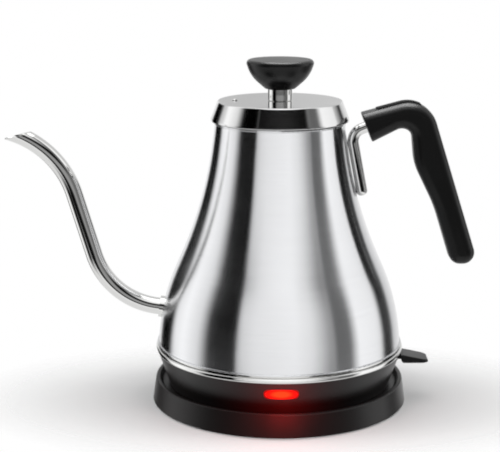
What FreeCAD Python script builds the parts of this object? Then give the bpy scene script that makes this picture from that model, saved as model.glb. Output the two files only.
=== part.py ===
"""Electric gooseneck kettle standing on its round power base.

Lengths are millimetres and angles degrees. The axis of the kettle is Z, the table is z = 0, the spout
points to -X, the handle and the switch lever to +X, and the lamp faces -Y.
"""
import FreeCAD
import Part
import Sketcher
import math
import operator
import os

from FreeCAD import Placement, Rotation, Vector

SIZES = {
    # Clearances shared by all pieces
    "seat_gap": 0.3,
    "fit_gap": 0.15,
    "pin_gap": 0.05,
    # Power base
    "base_lift": 1.0,
    "base_height": 14.7,
    "base_wall": 2.2,
    "base_flare": 2.1,
    "rim_round": 0.9,
    "dish_depth": 3.7,
    "dish_gap": 4.2,
    "dish_lean": 1.9,
    "dish_round": 1.5,
    "base_cover_thickness": 1.8,
    "base_cover_gap": 0.8,
    "base_boss_radius": 3.6,
    "base_boss_inset": 13.8,
    "base_pad_radius": 7.0,
    "base_pad_inset": 11.0,
    "base_pad_sink": 0.8,
    "gland_radius": 2.8,
    "gland_length": 7.0,
    "gland_flange": 0.5,
    "gland_flange_thickness": 1.2,
    "cord_radius": 2.2,
    # Connector between base and kettle
    "connector_radius": 17.0,
    "connector_height": 13.0,
    "connector_flange": 6.0,
    "connector_flange_thickness": 1.8,
    "contact_slot_depth": 10.0,
    "contact_slot_width": 2.2,
    "contact_ring_inner": 8.0,
    "contact_ring_outer": 12.5,
    "contact_ring_wall": 1.0,
    "contact_clip_wall": 1.6,
    "contact_clip_height": 1.2,
    "contact_pin_radius": 1.6,
    "contact_pin_room": 0.8,
    "contact_tip_gap": 1.0,
    "socket_wall": 4.3,
    "socket_roof": 2.0,
    "socket_headroom": 0.6,
    "socket_flange": 3.0,
    "socket_flange_thickness": 1.6,
    # Screws
    "screw_radius": 1.25,
    "screw_head_radius": 2.8,
    "screw_head_height": 1.0,
    # Foot of the kettle
    "collar_height": 21.2,
    "collar_taper": 7.4,
    "collar_wall": 2.2,
    "collar_inset": 0.8,
    "collar_round": 0.8,
    "ledge_width": 13.0,
    "ledge_thickness": 2.0,
    "foot_cover_thickness": 2.0,
    "stud_radius": 3.0,
    "stud_screw_bite": 6.0,
    "ring_lip_height": 2.9,
    "ring_lip_round": 1.1,
    "ring_groove_height": 1.2,
    "ring_groove_depth": 1.6,
    "ring_overhang": 1.7,
    "ring_width": 4.6,
    # Steel body
    "foot_radius": 74.1,
    "body_wall": 0.8,
    "body_height": 136.0,
    "foot_bead": 0.8,
    "foot_bead_height": 1.1,
    "foot_bead_round": 0.5,
    "belly_inset": 2.3,
    "neck_radius": 39.0,
    "neck_flare": 5.4,
    "mouth_bead": 0.7,
    "mouth_bead_height": 1.4,
    "mouth_bead_round": 0.6,
    # Heater
    "plate_rise": 2.9,
    "plate_thickness": 1.0,
    "plate_rim_width": 1.5,
    "spreader_stud_gap": 4.9,
    "spreader_thickness": 2.0,
    "element_radius": 42.0,
    "element_tube": 3.2,
    "element_half_gap": 25.0,
    "element_pin_radius": 1.6,
    "element_pin_length": 6.0,
    "steam_offset": 34.0,
    "steam_radius": 3.5,
    "steam_wall": 0.6,
    "steam_drop": 22.0,
    "steam_tail": 1.5,
    "grommet_width": 2.0,
    "grommet_height": 2.4,
    # Control
    "control_radius": 27.0,
    "control_recess": 1.0,
    "bimetal_radius": 16.0,
    "bimetal_thickness": 0.5,
    "trip_slot_half_width": 2.6,
    "trip_slot_depth": 4.4,
    "trip_slot_roof": 2.0,
    # Switch lever
    "pivot_inset": 9.6,
    "pivot_height": 15.3,
    "pivot_pin_radius": 1.25,
    "lever_hub_radius": 3.2,
    "lever_arm_half_width": 4.0,
    "lever_tongue_half_width": 1.8,
    "lever_tongue_height": 2.4,
    "lever_tongue_rise": 5.6,
    "lever_tongue_gap": 0.6,
    "lever_neck_height": 3.4,
    "paddle_half_width": 7.5,
    "paddle_gap": 2.3,
    "paddle_length": 17.2,
    "paddle_shoulder": 1.5,
    "paddle_drop": 3.2,
    "paddle_tip_drop": 1.4,
    "paddle_tip_run": 0.8,
    "paddle_tip_round": 0.6,
    "paddle_corner_round": 5.0,
    "paddle_heel_run": 1.0,
    "paddle_heel_round": 1.6,
    "lever_slot_room": 0.8,
    "lever_slot_below": 3.3,
    "lever_slot_above": 4.6,
    "ear_thickness": 3.0,
    "ear_half_width": 3.6,
    # Lamp
    "lens_half_width": 10.0,
    "lens_height": 6.0,
    "lens_round": 2.6,
    "lens_drop": 7.0,
    "lens_depth": 4.0,
    "lens_flange": 1.5,
    "lens_flange_thickness": 1.2,
    "lamp_gap": 0.6,
    "lamp_radius": 2.5,
    "lamp_length": 5.0,
    "lamp_board_half_width": 10.0,
    "lamp_board_height": 12.0,
    "lamp_board_thickness": 1.6,
    "lamp_post_half_pitch": 7.0,
    "lamp_post_half_width": 2.0,
    # Spout
    "spout_radius": 5.1,
    "spout_wall": 0.7,
    "spout_root_depth": 14.0,
    "spout_root_rise": 19.2,
    "spout_low_reach": 44.6,
    "spout_low_rise": 6.3,
    "spout_low_bend": 45.7,
    "spout_mid_reach": 27.5,
    "spout_mid_rise": 92.9,
    "spout_high_bend": 56.0,
    "spout_tip_reach": 32.4,
    "spout_tip_rise": 11.8,
    "spout_lip_back": 0.7,
    "spout_lip_drop": 5.3,
    "spout_mouth_slope": 15.3,
    "spout_collar_width": 1.4,
    "spout_collar_length": 13.6,
    # Handle
    "rod_radius": 3.4,
    "rod_bite": 0.25,
    "rod_nose_round": 2.9,
    "rod_elbow_drop": 7.2,
    "rod_elbow_reach": 3.75,
    "rod_elbow_bend": 8.0,
    "rod_leg_length": 36.0,
    "sleeve_rise": 21.5,
    "sleeve_start": 9.7,
    "sleeve_half_height": 9.15,
    "grip_half_width": 9.5,
    "grip_round": 6.0,
    "grip_end_round": 0.8,
    "grip_crown_reach": 36.4,
    "grip_crown_rise": 19.2,
    "grip_crown_bend": 18.0,
    "grip_back_reach": 69.2,
    "grip_back_drop": 83.4,
    "grip_tail_width": 16.4,
    "grip_tail_round": 7.0,
    "grip_palm_reach": 41.6,
    "grip_palm_drop": 48.0,
    "grip_palm_bend": 90.0,
    "grip_finger_reach": 29.0,
    "grip_finger_drop": 22.4,
    "grip_finger_bend": 36.0,
    "grip_crook_reach": 26.4,
    "grip_crook_rise": 3.2,
    "grip_crook_bend": 6.5,
    "grip_bore_end_gap": 1.7,
    "grip_screw_place": 12.0,
    "grip_screw_bite": 2.0,
    # Lid
    "lid_wall": 0.8,
    "lid_overhang": 2.4,
    "lid_height": 12.1,
    "lid_taper": 4.2,
    "lid_edge_round": 1.1,
    "lid_bead_width": 1.8,
    "lid_bead_height": 1.2,
    "lid_bead_round": 0.55,
    "skirt_gap": 0.4,
    "skirt_wall": 0.7,
    "skirt_depth": 13.0,
    "vent_radius": 1.5,
    "vent_reach": 27.2,
    # Knob
    "stem_radius": 7.3,
    "stem_height": 7.2,
    "stem_round": 0.5,
    "knob_foot_radius": 9.0,
    "knob_radius": 20.9,
    "knob_height": 17.1,
    "knob_waist_radius": 17.6,
    "knob_waist_height": 7.4,
    "knob_waist_bend": 20.0,
    "knob_crown": 0.6,
    "knob_rim_round": 2.2,
    "knob_bore_depth": 12.0,
    "knob_screw_radius": 2.0,
    "knob_screw_head_radius": 4.0,
    "knob_screw_head_height": 2.2,
}

BACKWARDS = Rotation(Vector(1, 0, 0), -90)
BASE_SCREWS = 4
FOOT_SCREWS = 3
# Shares of the steel body's height, and of the straight runs that its two bends take up
BELLY_RISE_SHARE = 0.2
NECK_DROP_SHARE = 0.3456
FLARE_RUN_SHARE = 0.815
BELLY_RUN_SHARE = 0.831
# Share of the lamp's radius that rounds its end
LAMP_DOME_SHARE = 0.8
# Points nearer than this count as one
TOUCH = 0.01
OPERATIONS = {"+": operator.add, "-": operator.sub, "*": operator.mul, "/": operator.truediv}


class Size:
    """A number together with the sheet formula that gives it, so that each sum is written once."""

    def __init__(self, value, formula):
        self.value = value
        self.formula = formula

    def __add__(self, other):
        return joined(self, "+", other)

    def __radd__(self, other):
        return joined(other, "+", self)

    def __sub__(self, other):
        return joined(self, "-", other)

    def __rsub__(self, other):
        return joined(other, "-", self)

    def __mul__(self, other):
        return joined(self, "*", other)

    def __rmul__(self, other):
        return joined(other, "*", self)

    def __truediv__(self, other):
        return joined(self, "/", other)

    def __neg__(self):
        return joined(-1, "*", self)


def as_size(number):
    """A plain number as a size without a cell of its own."""
    if isinstance(number, Size):
        return number
    return Size(float(number), f"({float(number)})")


def joined(left, sign, right):
    """The size that one operation makes of two sizes or numbers."""
    left, right = as_size(left), as_size(right)
    value = OPERATIONS[sign](left.value, right.value)
    return Size(value, f"({left.formula} {sign} {right.formula})")


def sine(angle):
    """Sine of an angle in degrees."""
    angle = as_size(angle)
    return Size(math.sin(math.radians(angle.value)), f"sin({angle.formula})")


def cosine(angle):
    """Cosine of an angle in degrees."""
    angle = as_size(angle)
    return Size(math.cos(math.radians(angle.value)), f"cos({angle.formula})")


def heading(rise, run):
    """Angle above +X of a direction in the XZ plane."""
    rise, run = as_size(rise), as_size(run)
    return Size(math.degrees(math.atan2(rise.value, run.value)), f"atan2({rise.formula}; {run.formula})")


def bend_radius(drop, outer, middle):
    """Radius of the bend from one heading to another that takes up a drop along the outer one."""
    half = (middle - outer) / 2
    return drop / sine(-outer) * cosine(half) / sine(half)


class Sheet:
    """The document's spreadsheet of driving sizes, read as attributes."""

    def __init__(self, doc, sizes):
        self.cells = doc.addObject("Spreadsheet::Sheet", "Sizes")
        for row, (name, value) in enumerate(sizes.items(), start=1):
            self.cells.set(f"A{row}", name)
            self.cells.set(f"B{row}", str(value))
            self.cells.setAlias(f"B{row}", name)
        doc.recompute()

    def __getattr__(self, name):
        return Size(float(self.cells.get(name)), f"Sizes.{name}")


doc = FreeCAD.newDocument("gooseneck_kettle")
d = Sheet(doc, SIZES)
pieces = {}


def bind(thing, target, size):
    """Tie one property of an object to a size."""
    thing.setExpression(target, as_size(size).formula)


def place(thing, x=0, y=0, z=0, rotation=None):
    """Place an object at sizes along the axes, turned by a fixed rotation."""
    rotation = rotation or Rotation()
    spot = [as_size(value) for value in (x, y, z)]
    thing.Placement = Placement(Vector(*[size.value for size in spot]), rotation)
    for axis, size in zip("xyz", spot):
        bind(thing, f"Placement.Base.{axis}", size)


def piece(label, thing):
    """Name a finished sub-part."""
    thing.Label = label
    pieces[label] = thing
    return thing


def new_body(label):
    """An empty body for one sub-part."""
    return piece(label, doc.addObject("PartDesign::Body", label))


def origin_feature(body, role):
    """One of a body's own origin planes or axes."""
    return next(feature for feature in body.Origin.OriginFeatures if feature.Role == role)


def new_sketch(body, role, name, lift=0):
    """A sketch on an origin plane of its body, moved along the plane's normal by a size."""
    sketch = body.newObject("Sketcher::SketchObject", name)
    sketch.AttachmentSupport = (origin_feature(body, role), [""])
    sketch.MapMode = "FlatFace"
    lift = as_size(lift)
    sketch.AttachmentOffset = Placement(Vector(0, 0, lift.value), Rotation())
    bind(sketch, "AttachmentOffset.Base.z", lift)
    return sketch


def add_bound(sketch, constraints):
    """Add (kind, places, size) constraints to a sketch and tie those that have a size."""
    made = []
    for kind, places, size in constraints:
        extra = [] if size is None else [as_size(size).value]
        made.append(Sketcher.Constraint(kind, *places, *extra))
    first = sketch.ConstraintCount
    sketch.addConstraint(made)
    for index, (kind, places, size) in enumerate(constraints, start=first):
        if isinstance(size, Size):
            bind(sketch, f"Constraints[{index}]", size)


def at_point(geometry, position, x, y):
    """Constraints that hold one point of a sketch at two sizes from its origin."""
    return [("DistanceX", (-1, 1, geometry, position), x), ("DistanceY", (-1, 1, geometry, position), y)]


def draw_circle(sketch, x, y, radius):
    """A circle in a sketch."""
    centre = Vector(as_size(x).value, as_size(y).value, 0)
    index = sketch.addGeometry(Part.Circle(centre, Vector(0, 0, 1), as_size(radius).value), False)
    add_bound(sketch, at_point(index, 3, x, y) + [("Radius", (index,), radius)])


def draw_outline(sketch, corners, closed=True):
    """An outline through corners (x, y), or (x, y, radius) where the corner is rounded."""
    count = len(corners)
    points = [Vector(as_size(corner[0]).value, as_size(corner[1]).value, 0) for corner in corners]
    bends = {index: corner[2] for index, corner in enumerate(corners) if len(corner) > 2}
    arrive, leave, arcs = list(points), list(points), {}
    for index, radius in bends.items():
        back = (points[index - 1] - points[index]).normalize()
        ahead = (points[(index + 1) % count] - points[index]).normalize()
        half = back.getAngle(ahead) / 2
        run = as_size(radius).value / math.tan(half)
        arrive[index] = points[index] + back * run
        leave[index] = points[index] + ahead * run
        centre = points[index] + (back + ahead).normalize() * (as_size(radius).value / math.sin(half))
        arcs[index] = centre
    lines = range(count if closed else count - 1)
    for index in lines:
        sketch.addGeometry(Part.LineSegment(leave[index], arrive[(index + 1) % count]), False)
    constraints = []
    for index, corner in enumerate(corners):
        before, after = (index - 1) % count, index
        if index not in bends:
            if closed or 0 < index < count - 1:
                constraints.append(("Coincident", (before, 2, after, 1), None))
            end = (before, 2) if not closed and index == count - 1 else (after, 1)
            constraints += at_point(*end, corner[0], corner[1])
            continue
        centre = arcs[index]
        start, stop = arrive[index] - centre, leave[index] - centre
        leftward = start.cross(stop).z > 0
        first, last = (start, stop) if leftward else (stop, start)
        circle = Part.Circle(centre, Vector(0, 0, 1), start.Length)
        span = (math.atan2(first.y, first.x), math.atan2(last.y, last.x))
        arc = sketch.addGeometry(Part.ArcOfCircle(circle, *span), False)
        apex = sketch.addGeometry(Part.Point(points[index]), True)
        enter, exit_ = (1, 2) if leftward else (2, 1)
        constraints.append(("Tangent", (before, 2, arc, enter), None))
        constraints.append(("Tangent", (arc, exit_, after, 1), None))
        constraints.append(("Radius", (arc,), corner[2]))
        constraints.append(("PointOnObject", (apex, 1, before), None))
        constraints.append(("PointOnObject", (apex, 1, after), None))
        constraints += at_point(apex, 1, corner[0], corner[1])
    add_bound(sketch, constraints)


def check_cut(body, before, name):
    """Stop where a cut has taken nothing away."""
    doc.recompute()
    if not body.Shape.Volume < before:
        raise ValueError(f"{name} cuts nothing from {body.Label}")


def turn(body, corners, name):
    """Turn an outline in the XZ plane about Z."""
    sketch = new_sketch(body, "XZ_Plane", f"{name}_outline")
    draw_outline(sketch, corners)
    feature = body.newObject("PartDesign::Revolution", name)
    feature.Profile = sketch
    feature.ReferenceAxis = (sketch, ["V_Axis"])
    feature.Angle = 360
    return feature


def turn_away(body, corners, name):
    """Cut an outline in the XZ plane, turned about Z, out of a body."""
    doc.recompute()
    before = body.Shape.Volume
    sketch = new_sketch(body, "XZ_Plane", f"{name}_outline")
    draw_outline(sketch, corners)
    feature = body.newObject("PartDesign::Groove", name)
    feature.Profile = sketch
    feature.ReferenceAxis = (sketch, ["V_Axis"])
    feature.Angle = 360
    check_cut(body, before, name)
    return feature


def pad(body, sketch, length, name, symmetric=False, reverse=False):
    """Pad a sketch by a length."""
    feature = body.newObject("PartDesign::Pad", name)
    feature.Profile = sketch
    feature.SideType = "Symmetric" if symmetric else "One side"
    feature.Reversed = reverse
    bind(feature, "Length", length)
    return feature


def pocket(body, sketch, length, name, symmetric=False, reverse=False):
    """Cut a sketch out of a body by a length."""
    doc.recompute()
    before = body.Shape.Volume
    feature = body.newObject("PartDesign::Pocket", name)
    feature.Profile = sketch
    feature.SideType = "Symmetric" if symmetric else "One side"
    feature.Reversed = reverse
    bind(feature, "Length", length)
    check_cut(body, before, name)
    return feature


def repeat(body, feature, count, name):
    """Repeat a feature round Z."""
    pattern = body.newObject("PartDesign::PolarPattern", name)
    pattern.Originals = [feature]
    pattern.Axis = (origin_feature(body, "Z_Axis"), [""])
    pattern.Angle = 360
    pattern.Occurrences = count
    body.Tip = pattern
    return pattern


def cylinder(name, radius, height, x=0, y=0, z=0, rotation=None):
    """A plain cylinder standing at a point."""
    thing = doc.addObject("Part::Cylinder", name)
    bind(thing, "Radius", radius)
    bind(thing, "Height", height)
    place(thing, x, y, z, rotation)
    return thing


def fuse(name, shapes):
    """Several shapes made into one solid."""
    thing = doc.addObject("Part::MultiFuse", name)
    thing.Shapes = shapes
    return thing


def cut(name, base, tool):
    """One shape less another."""
    thing = doc.addObject("Part::Cut", name)
    thing.Base = base
    thing.Tool = tool
    return thing


def tube(name, outer, inner, height, x=0, y=0, z=0, rotation=None):
    """A round tube, bored right through."""
    shell = cylinder(f"{name}_outer", outer, height, x, y, z, rotation)
    bore = cylinder(f"{name}_bore", inner, height, x, y, z, rotation)
    return cut(name, shell, bore)


def group(label, shapes):
    """Separate solids that share one name."""
    thing = doc.addObject("Part::Compound", label)
    thing.Links = shapes
    return piece(label, thing)


def round_edges(body, base, wanted, radius, name):
    """Round those edges of a feature that a test picks."""
    edges = [f"Edge{index}" for index, edge in enumerate(base.Shape.Edges, start=1) if wanted(edge)]
    if not edges:
        raise ValueError(f"{name} finds no edge on {body.Label}")
    feature = body.newObject("PartDesign::Fillet", name)
    feature.Base = (base, edges)
    bind(feature, "Radius", radius)
    return feature


def round_way(share):
    """Cosine and sine of a share of a full turn, for pieces that repeat round Z."""
    return math.cos(2 * math.pi * share), math.sin(2 * math.pi * share)


def aim_upright(sketch, x, z, tilt):
    """Set a YZ sketch at a point of the XZ plane, facing along a direction at an angle above +X."""
    sketch.AttachmentOffset = Placement(Vector(0, z.value, x.value), Rotation(Vector(1, 0, 0), -tilt.value))
    bind(sketch, "AttachmentOffset.Base.y", z)
    bind(sketch, "AttachmentOffset.Base.z", x)


def aim_flat(sketch, x, z, tilt):
    """Set an XY sketch at a point of the XZ plane, facing up square to a direction at an angle above +X."""
    sketch.AttachmentOffset = Placement(Vector(x.value, 0, z.value), Rotation(Vector(0, 1, 0), -tilt.value))
    bind(sketch, "AttachmentOffset.Base.x", x)
    bind(sketch, "AttachmentOffset.Base.z", z)


def pipe(body, path, radius, slope, name, cutting=False):
    """Sweep a circle along a path of straight runs and bends in the XZ plane."""
    spine = new_sketch(body, "XZ_Plane", f"{name}_path")
    draw_outline(spine, path, closed=False)
    section = new_sketch(body, "YZ_Plane", f"{name}_section")
    draw_circle(section, 0, 0, radius)
    aim_upright(section, *path[0], slope)
    feature = body.newObject("PartDesign::SubtractivePipe" if cutting else "PartDesign::AdditivePipe", name)
    feature.Profile = section
    feature.Spine = (spine, [])
    return feature


# Heights and radii that several pieces share
dish_floor = d.base_height - d.dish_depth
dish_under = dish_floor - d.base_wall
base_cover_top = d.base_lift + d.base_cover_thickness
gland_z = (base_cover_top + dish_under) / 2
kettle_bottom = dish_floor + d.seat_gap
foot_cover_top = kettle_bottom + d.foot_cover_thickness
ledge_top = foot_cover_top + d.ledge_thickness
collar_top = kettle_bottom + d.collar_height
ring_lip_top = collar_top + d.ring_lip_height
body_foot = ring_lip_top + d.ring_groove_height
bead_top = body_foot + d.foot_bead_height
body_top = body_foot + d.body_height
mouth_under = body_top - d.mouth_bead_height
plate_top = body_foot + d.plate_rise
plate_under = plate_top - d.plate_thickness
spreader_under = plate_under - d.spreader_thickness
lid_bottom = body_top + d.seat_gap
lid_top = lid_bottom + d.lid_height
knob_bottom = lid_top + d.stem_height

ring_radius = d.foot_radius + d.ring_overhang
collar_top_radius = ring_radius - d.collar_inset
collar_foot_radius = collar_top_radius - d.collar_taper
dish_radius = collar_foot_radius + d.dish_gap
rim_radius = dish_radius + d.dish_lean + d.base_wall
base_radius = rim_radius + d.base_flare
base_inner_radius = base_radius - d.base_wall
base_boss_circle = dish_radius - d.base_boss_inset
base_pad_circle = base_inner_radius - d.base_pad_inset
foot_cover_radius = collar_foot_radius - d.collar_wall
ledge_inner_radius = foot_cover_radius - d.ledge_width
stud_circle = ledge_inner_radius + d.ledge_width / 2
spreader_radius = stud_circle - d.stud_radius - d.spreader_stud_gap
mouth_radius = d.neck_radius - d.body_wall
steam_hole = d.steam_radius + d.fit_gap
screw_bore = d.screw_radius + d.pin_gap
lid_radius = d.neck_radius + d.lid_overhang
lid_top_radius = lid_radius - d.lid_taper
knob_screw_bore = d.knob_screw_radius + d.pin_gap

connector_top = dish_floor + d.connector_height
contact_slot_floor = connector_top - d.contact_slot_depth
contact_tip = contact_slot_floor + d.contact_clip_height + d.contact_tip_gap
socket_cavity_top = connector_top + d.socket_headroom
socket_top = socket_cavity_top + d.socket_roof
socket_bore = d.connector_radius + d.seat_gap
socket_radius = socket_bore + d.socket_wall
control_under = socket_top + d.seat_gap

pivot_x = collar_foot_radius - d.pivot_inset
pivot_z = kettle_bottom + d.pivot_height
lens_z = collar_top - d.lens_drop

# The steel body's two bends, the flare under the neck and the belly, with the headings beside them
flare = (d.neck_radius + d.neck_flare, body_top - d.body_height * NECK_DROP_SHARE)
belly = (d.foot_radius - d.belly_inset, body_foot + d.body_height * BELLY_RISE_SHARE)
neck_heading = heading(flare[1] - mouth_under, d.neck_flare)
side_heading = heading(belly[1] - flare[1], belly[0] - flare[0])
foot_heading = heading(bead_top - belly[1], d.belly_inset)
flare_round = bend_radius(FLARE_RUN_SHARE * (mouth_under - flare[1]), neck_heading, side_heading)
belly_round = bend_radius(BELLY_RUN_SHARE * (belly[1] - bead_top), foot_heading, side_heading)
flare_heading = (neck_heading + side_heading) / 2
flare_depth = flare_round / cosine((side_heading - neck_heading) / 2) - flare_round

# Corners of the spout's centre line, from inside the body to the tip
spout_start = (-(d.foot_radius - d.spout_root_depth), body_foot + d.spout_root_rise)
spout_low = (spout_start[0] - d.spout_low_reach, spout_start[1] + d.spout_low_rise)
spout_high = (spout_low[0] - d.spout_mid_reach, spout_low[1] + d.spout_mid_rise)
spout_end = (spout_high[0] - d.spout_tip_reach, spout_high[1] + d.spout_tip_rise)
spout_slope = heading(d.spout_low_rise, -d.spout_low_reach)

# Corners of the handle rod's centre line, and the middle of the grip's open end on it
rod_standoff = flare_depth + d.rod_radius - d.rod_bite
rod_low = (flare[0] - rod_standoff * sine(flare_heading), flare[1] + rod_standoff * cosine(flare_heading))
rod_elbow = (d.neck_radius + d.rod_elbow_reach, body_top - d.rod_elbow_drop)
leg_across, leg_up = cosine(d.sleeve_rise), sine(d.sleeve_rise)
rod_end = (rod_elbow[0] + d.rod_leg_length * leg_across, rod_elbow[1] + d.rod_leg_length * leg_up)
grip_end = (rod_elbow[0] + d.sleeve_start * leg_across, rod_elbow[1] + d.sleeve_start * leg_up)
grip_screw_spot = (grip_end[0] + d.grip_screw_place * leg_across, grip_end[1] + d.grip_screw_place * leg_up)
grip_screw_seat = d.rod_radius + d.pin_gap + d.grip_screw_bite


def collar_radius(z):
    """Radius of the foot collar's outside at a height."""
    return collar_foot_radius + d.collar_taper / d.collar_height * (z - kettle_bottom)


# Where the lens and the lamp behind it begin, as distances from the axis
lens_back = collar_radius(lens_z) - d.collar_wall - d.lens_depth
lamp_back = lens_back - d.lamp_gap - d.lamp_length


def box_outline(left, low, right, high):
    """Corners of a rectangle."""
    return [(left, low), (right, low), (right, high), (left, high)]


def lens_outline(grow):
    """Rounded outline of the lamp's lens, grown on all sides."""
    half_width, half_height = d.lens_half_width + grow, d.lens_height / 2 + grow
    return [(x, y, d.lens_round)
            for x, y in box_outline(-half_width, lens_z - half_height, half_width, lens_z + half_height)]


def body_side(inset=0):
    """Corners of the steel body's side from mouth to foot, moved inwards by an inset."""
    return [
        (flare[0] - inset, flare[1], flare_round),
        (belly[0] - inset, belly[1], belly_round),
    ]


def body_outside():
    """Closed outline of everything inside the steel body's outer surface."""
    return [
        (0, mouth_under),
        (d.neck_radius, mouth_under),
        *body_side(),
        (d.foot_radius, bead_top),
        (0, bead_top),
    ]


def make_base_housing():
    """Moulded dish of the power base, with the bosses that its cover is screwed to."""
    body = new_body("base_housing")
    hole = d.connector_radius + d.fit_gap
    turn(body, [
        (base_radius, d.base_lift),
        (rim_radius, d.base_height, d.rim_round),
        (rim_radius - d.base_wall, d.base_height, d.rim_round),
        (dish_radius, dish_floor, d.dish_round),
        (hole, dish_floor),
        (hole, dish_under),
        (base_inner_radius - d.base_flare, dish_under),
        (base_inner_radius, d.base_lift),
    ], "dish")
    across = base_boss_circle * math.sqrt(0.5)
    sketch = new_sketch(body, "XY_Plane", "boss_outline", base_cover_top)
    draw_circle(sketch, across, across, d.base_boss_radius)
    draw_circle(sketch, across, across, screw_bore)
    boss = pad(body, sketch, dish_under - base_cover_top, "boss")
    repeat(body, boss, BASE_SCREWS, "bosses")
    sketch = new_sketch(body, "XZ_Plane", "gland_hole_outline", d.gland_length - base_radius)
    draw_circle(sketch, 0, gland_z, d.gland_radius)
    pocket(body, sketch, d.gland_length, "gland_hole")


def make_base_cover():
    """Flat plate that closes the power base from below."""
    body = new_body("base_cover")
    radius = base_inner_radius - d.base_cover_gap
    turn(body, box_outline(0, d.base_lift, radius, base_cover_top), "plate")
    across = base_boss_circle * math.sqrt(0.5)
    sketch = new_sketch(body, "XY_Plane", "screw_hole_outline", base_cover_top)
    draw_circle(sketch, across, across, d.screw_radius + d.fit_gap)
    hole = pocket(body, sketch, d.base_cover_thickness, "screw_hole")
    repeat(body, hole, BASE_SCREWS, "screw_holes")
    sketch = new_sketch(body, "XY_Plane", "screw_sink_outline", d.base_lift + d.screw_head_height)
    draw_circle(sketch, across, across, d.screw_head_radius + d.fit_gap)
    sink = pocket(body, sketch, d.screw_head_height, "screw_sink")
    repeat(body, sink, BASE_SCREWS, "screw_sinks")
    sketch = new_sketch(body, "XY_Plane", "pad_seat_outline", d.base_lift + d.base_pad_sink)
    draw_circle(sketch, base_pad_circle, 0, d.base_pad_radius + d.fit_gap)
    seat = pocket(body, sketch, d.base_pad_sink, "pad_seat")
    repeat(body, seat, BASE_SCREWS, "pad_seats")
    sketch = new_sketch(body, "XY_Plane", "middle_seat_outline", d.base_lift + d.base_pad_sink)
    draw_circle(sketch, 0, 0, d.base_pad_radius + d.fit_gap)
    pocket(body, sketch, d.base_pad_sink, "middle_seat")


def make_base_pads():
    """Rubber pads that the base stands on, set into the cover."""
    height = d.base_lift + d.base_pad_sink
    pads = [cylinder("pad_middle", d.base_pad_radius, height)]
    for index in range(BASE_SCREWS):
        across, along = round_way(index / BASE_SCREWS)
        spot = (base_pad_circle * across, base_pad_circle * along)
        pads.append(cylinder(f"pad_{index}", d.base_pad_radius, height, *spot))
    group("base_pads", pads)


def upright_screw(name, x, y, z, length):
    """A screw driven upwards, with its head's outer face at z."""
    head = cylinder(f"{name}_head", d.screw_head_radius, d.screw_head_height, x, y, z)
    shank = cylinder(f"{name}_shank", d.screw_radius, length, x, y, z)
    return fuse(name, [head, shank])


def make_base_screws():
    """Screws from below through the cover into the bosses."""
    screws = []
    length = dish_under - d.base_lift - d.seat_gap
    for index in range(BASE_SCREWS):
        across, along = round_way((index + 0.5) / BASE_SCREWS)
        spot = (base_boss_circle * across, base_boss_circle * along)
        screws.append(upright_screw(f"base_screw_{index}", *spot, d.base_lift, length))
    group("base_screws", screws)


def contact_slot(radius):
    """Corners of one ring-shaped slot in the connector's top, from outside to inside."""
    outer = radius + d.contact_slot_width / 2
    inner = radius - d.contact_slot_width / 2
    return [
        (outer, connector_top),
        (outer, contact_slot_floor),
        (inner, contact_slot_floor),
        (inner, connector_top),
    ]


def make_base_connector():
    """Round connector post that stands up through the dish, with slots for the kettle's contacts."""
    body = new_body("base_connector")
    flange = d.connector_radius + d.connector_flange
    flange_under = dish_under - d.connector_flange_thickness
    pin_hole = d.contact_pin_radius + d.contact_pin_room
    turn(body, [
        (0, flange_under),
        (flange, flange_under),
        (flange, dish_under),
        (d.connector_radius, dish_under),
        (d.connector_radius, connector_top, d.rim_round),
        *contact_slot(d.contact_ring_outer),
        *contact_slot(d.contact_ring_inner),
        (pin_hole, connector_top),
        (pin_hole, contact_slot_floor),
        (0, contact_slot_floor),
    ], "post")


def make_base_contacts():
    """Brass clips at the bottom of the connector's slots and pin hole."""
    clips = []
    half = d.contact_clip_wall / 2
    for name, radius in (("inner", d.contact_ring_inner), ("outer", d.contact_ring_outer)):
        clips.append(tube(f"clip_{name}", radius + half, radius - half, d.contact_clip_height,
                          z=contact_slot_floor))
    outer = d.contact_pin_radius + d.contact_pin_room - d.pin_gap
    inner = d.contact_pin_radius + d.fit_gap
    clips.append(tube("clip_pin", outer, inner, d.contact_clip_height, z=contact_slot_floor))
    group("base_contacts", clips)


def make_cord_gland():
    """Bush in the back wall of the base, where the cord comes in."""
    start = base_radius - d.gland_length
    sleeve = cylinder("gland_sleeve", d.gland_radius - d.pin_gap, d.gland_length,
                      0, start, gland_z, BACKWARDS)
    flange = cylinder("gland_flange", d.gland_radius + d.gland_flange, d.gland_flange_thickness,
                      0, base_radius, gland_z, BACKWARDS)
    bore = cylinder("gland_bore", d.cord_radius, d.gland_length + d.gland_flange_thickness,
                    0, start, gland_z, BACKWARDS)
    piece("cord_gland", cut("cord_gland", fuse("gland_body", [sleeve, flange]), bore))


def make_socket():
    """Round socket in the kettle's foot that drops over the connector, with its pin and rings."""
    body = new_body("socket_housing")
    flange = socket_radius + d.socket_flange
    flange_under = foot_cover_top + d.seat_gap
    flange_top = flange_under + d.socket_flange_thickness
    turn(body, [
        (socket_bore, kettle_bottom + d.seat_gap, d.rim_round),
        (socket_radius, kettle_bottom + d.seat_gap),
        (socket_radius, flange_under),
        (flange, flange_under),
        (flange, flange_top),
        (socket_radius, flange_top),
        (socket_radius, socket_top, d.rim_round),
        (0, socket_top),
        (0, socket_cavity_top),
        (socket_bore, socket_cavity_top),
    ], "cup")
    reach = socket_cavity_top - contact_tip
    piece("socket_pin", cylinder("socket_pin", d.contact_pin_radius, reach, z=contact_tip))
    half = d.contact_ring_wall / 2
    rings = [tube(f"ring_{name}", radius + half, radius - half, reach, z=contact_tip)
             for name, radius in (("inner", d.contact_ring_inner), ("outer", d.contact_ring_outer))]
    group("socket_rings", rings)


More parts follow.
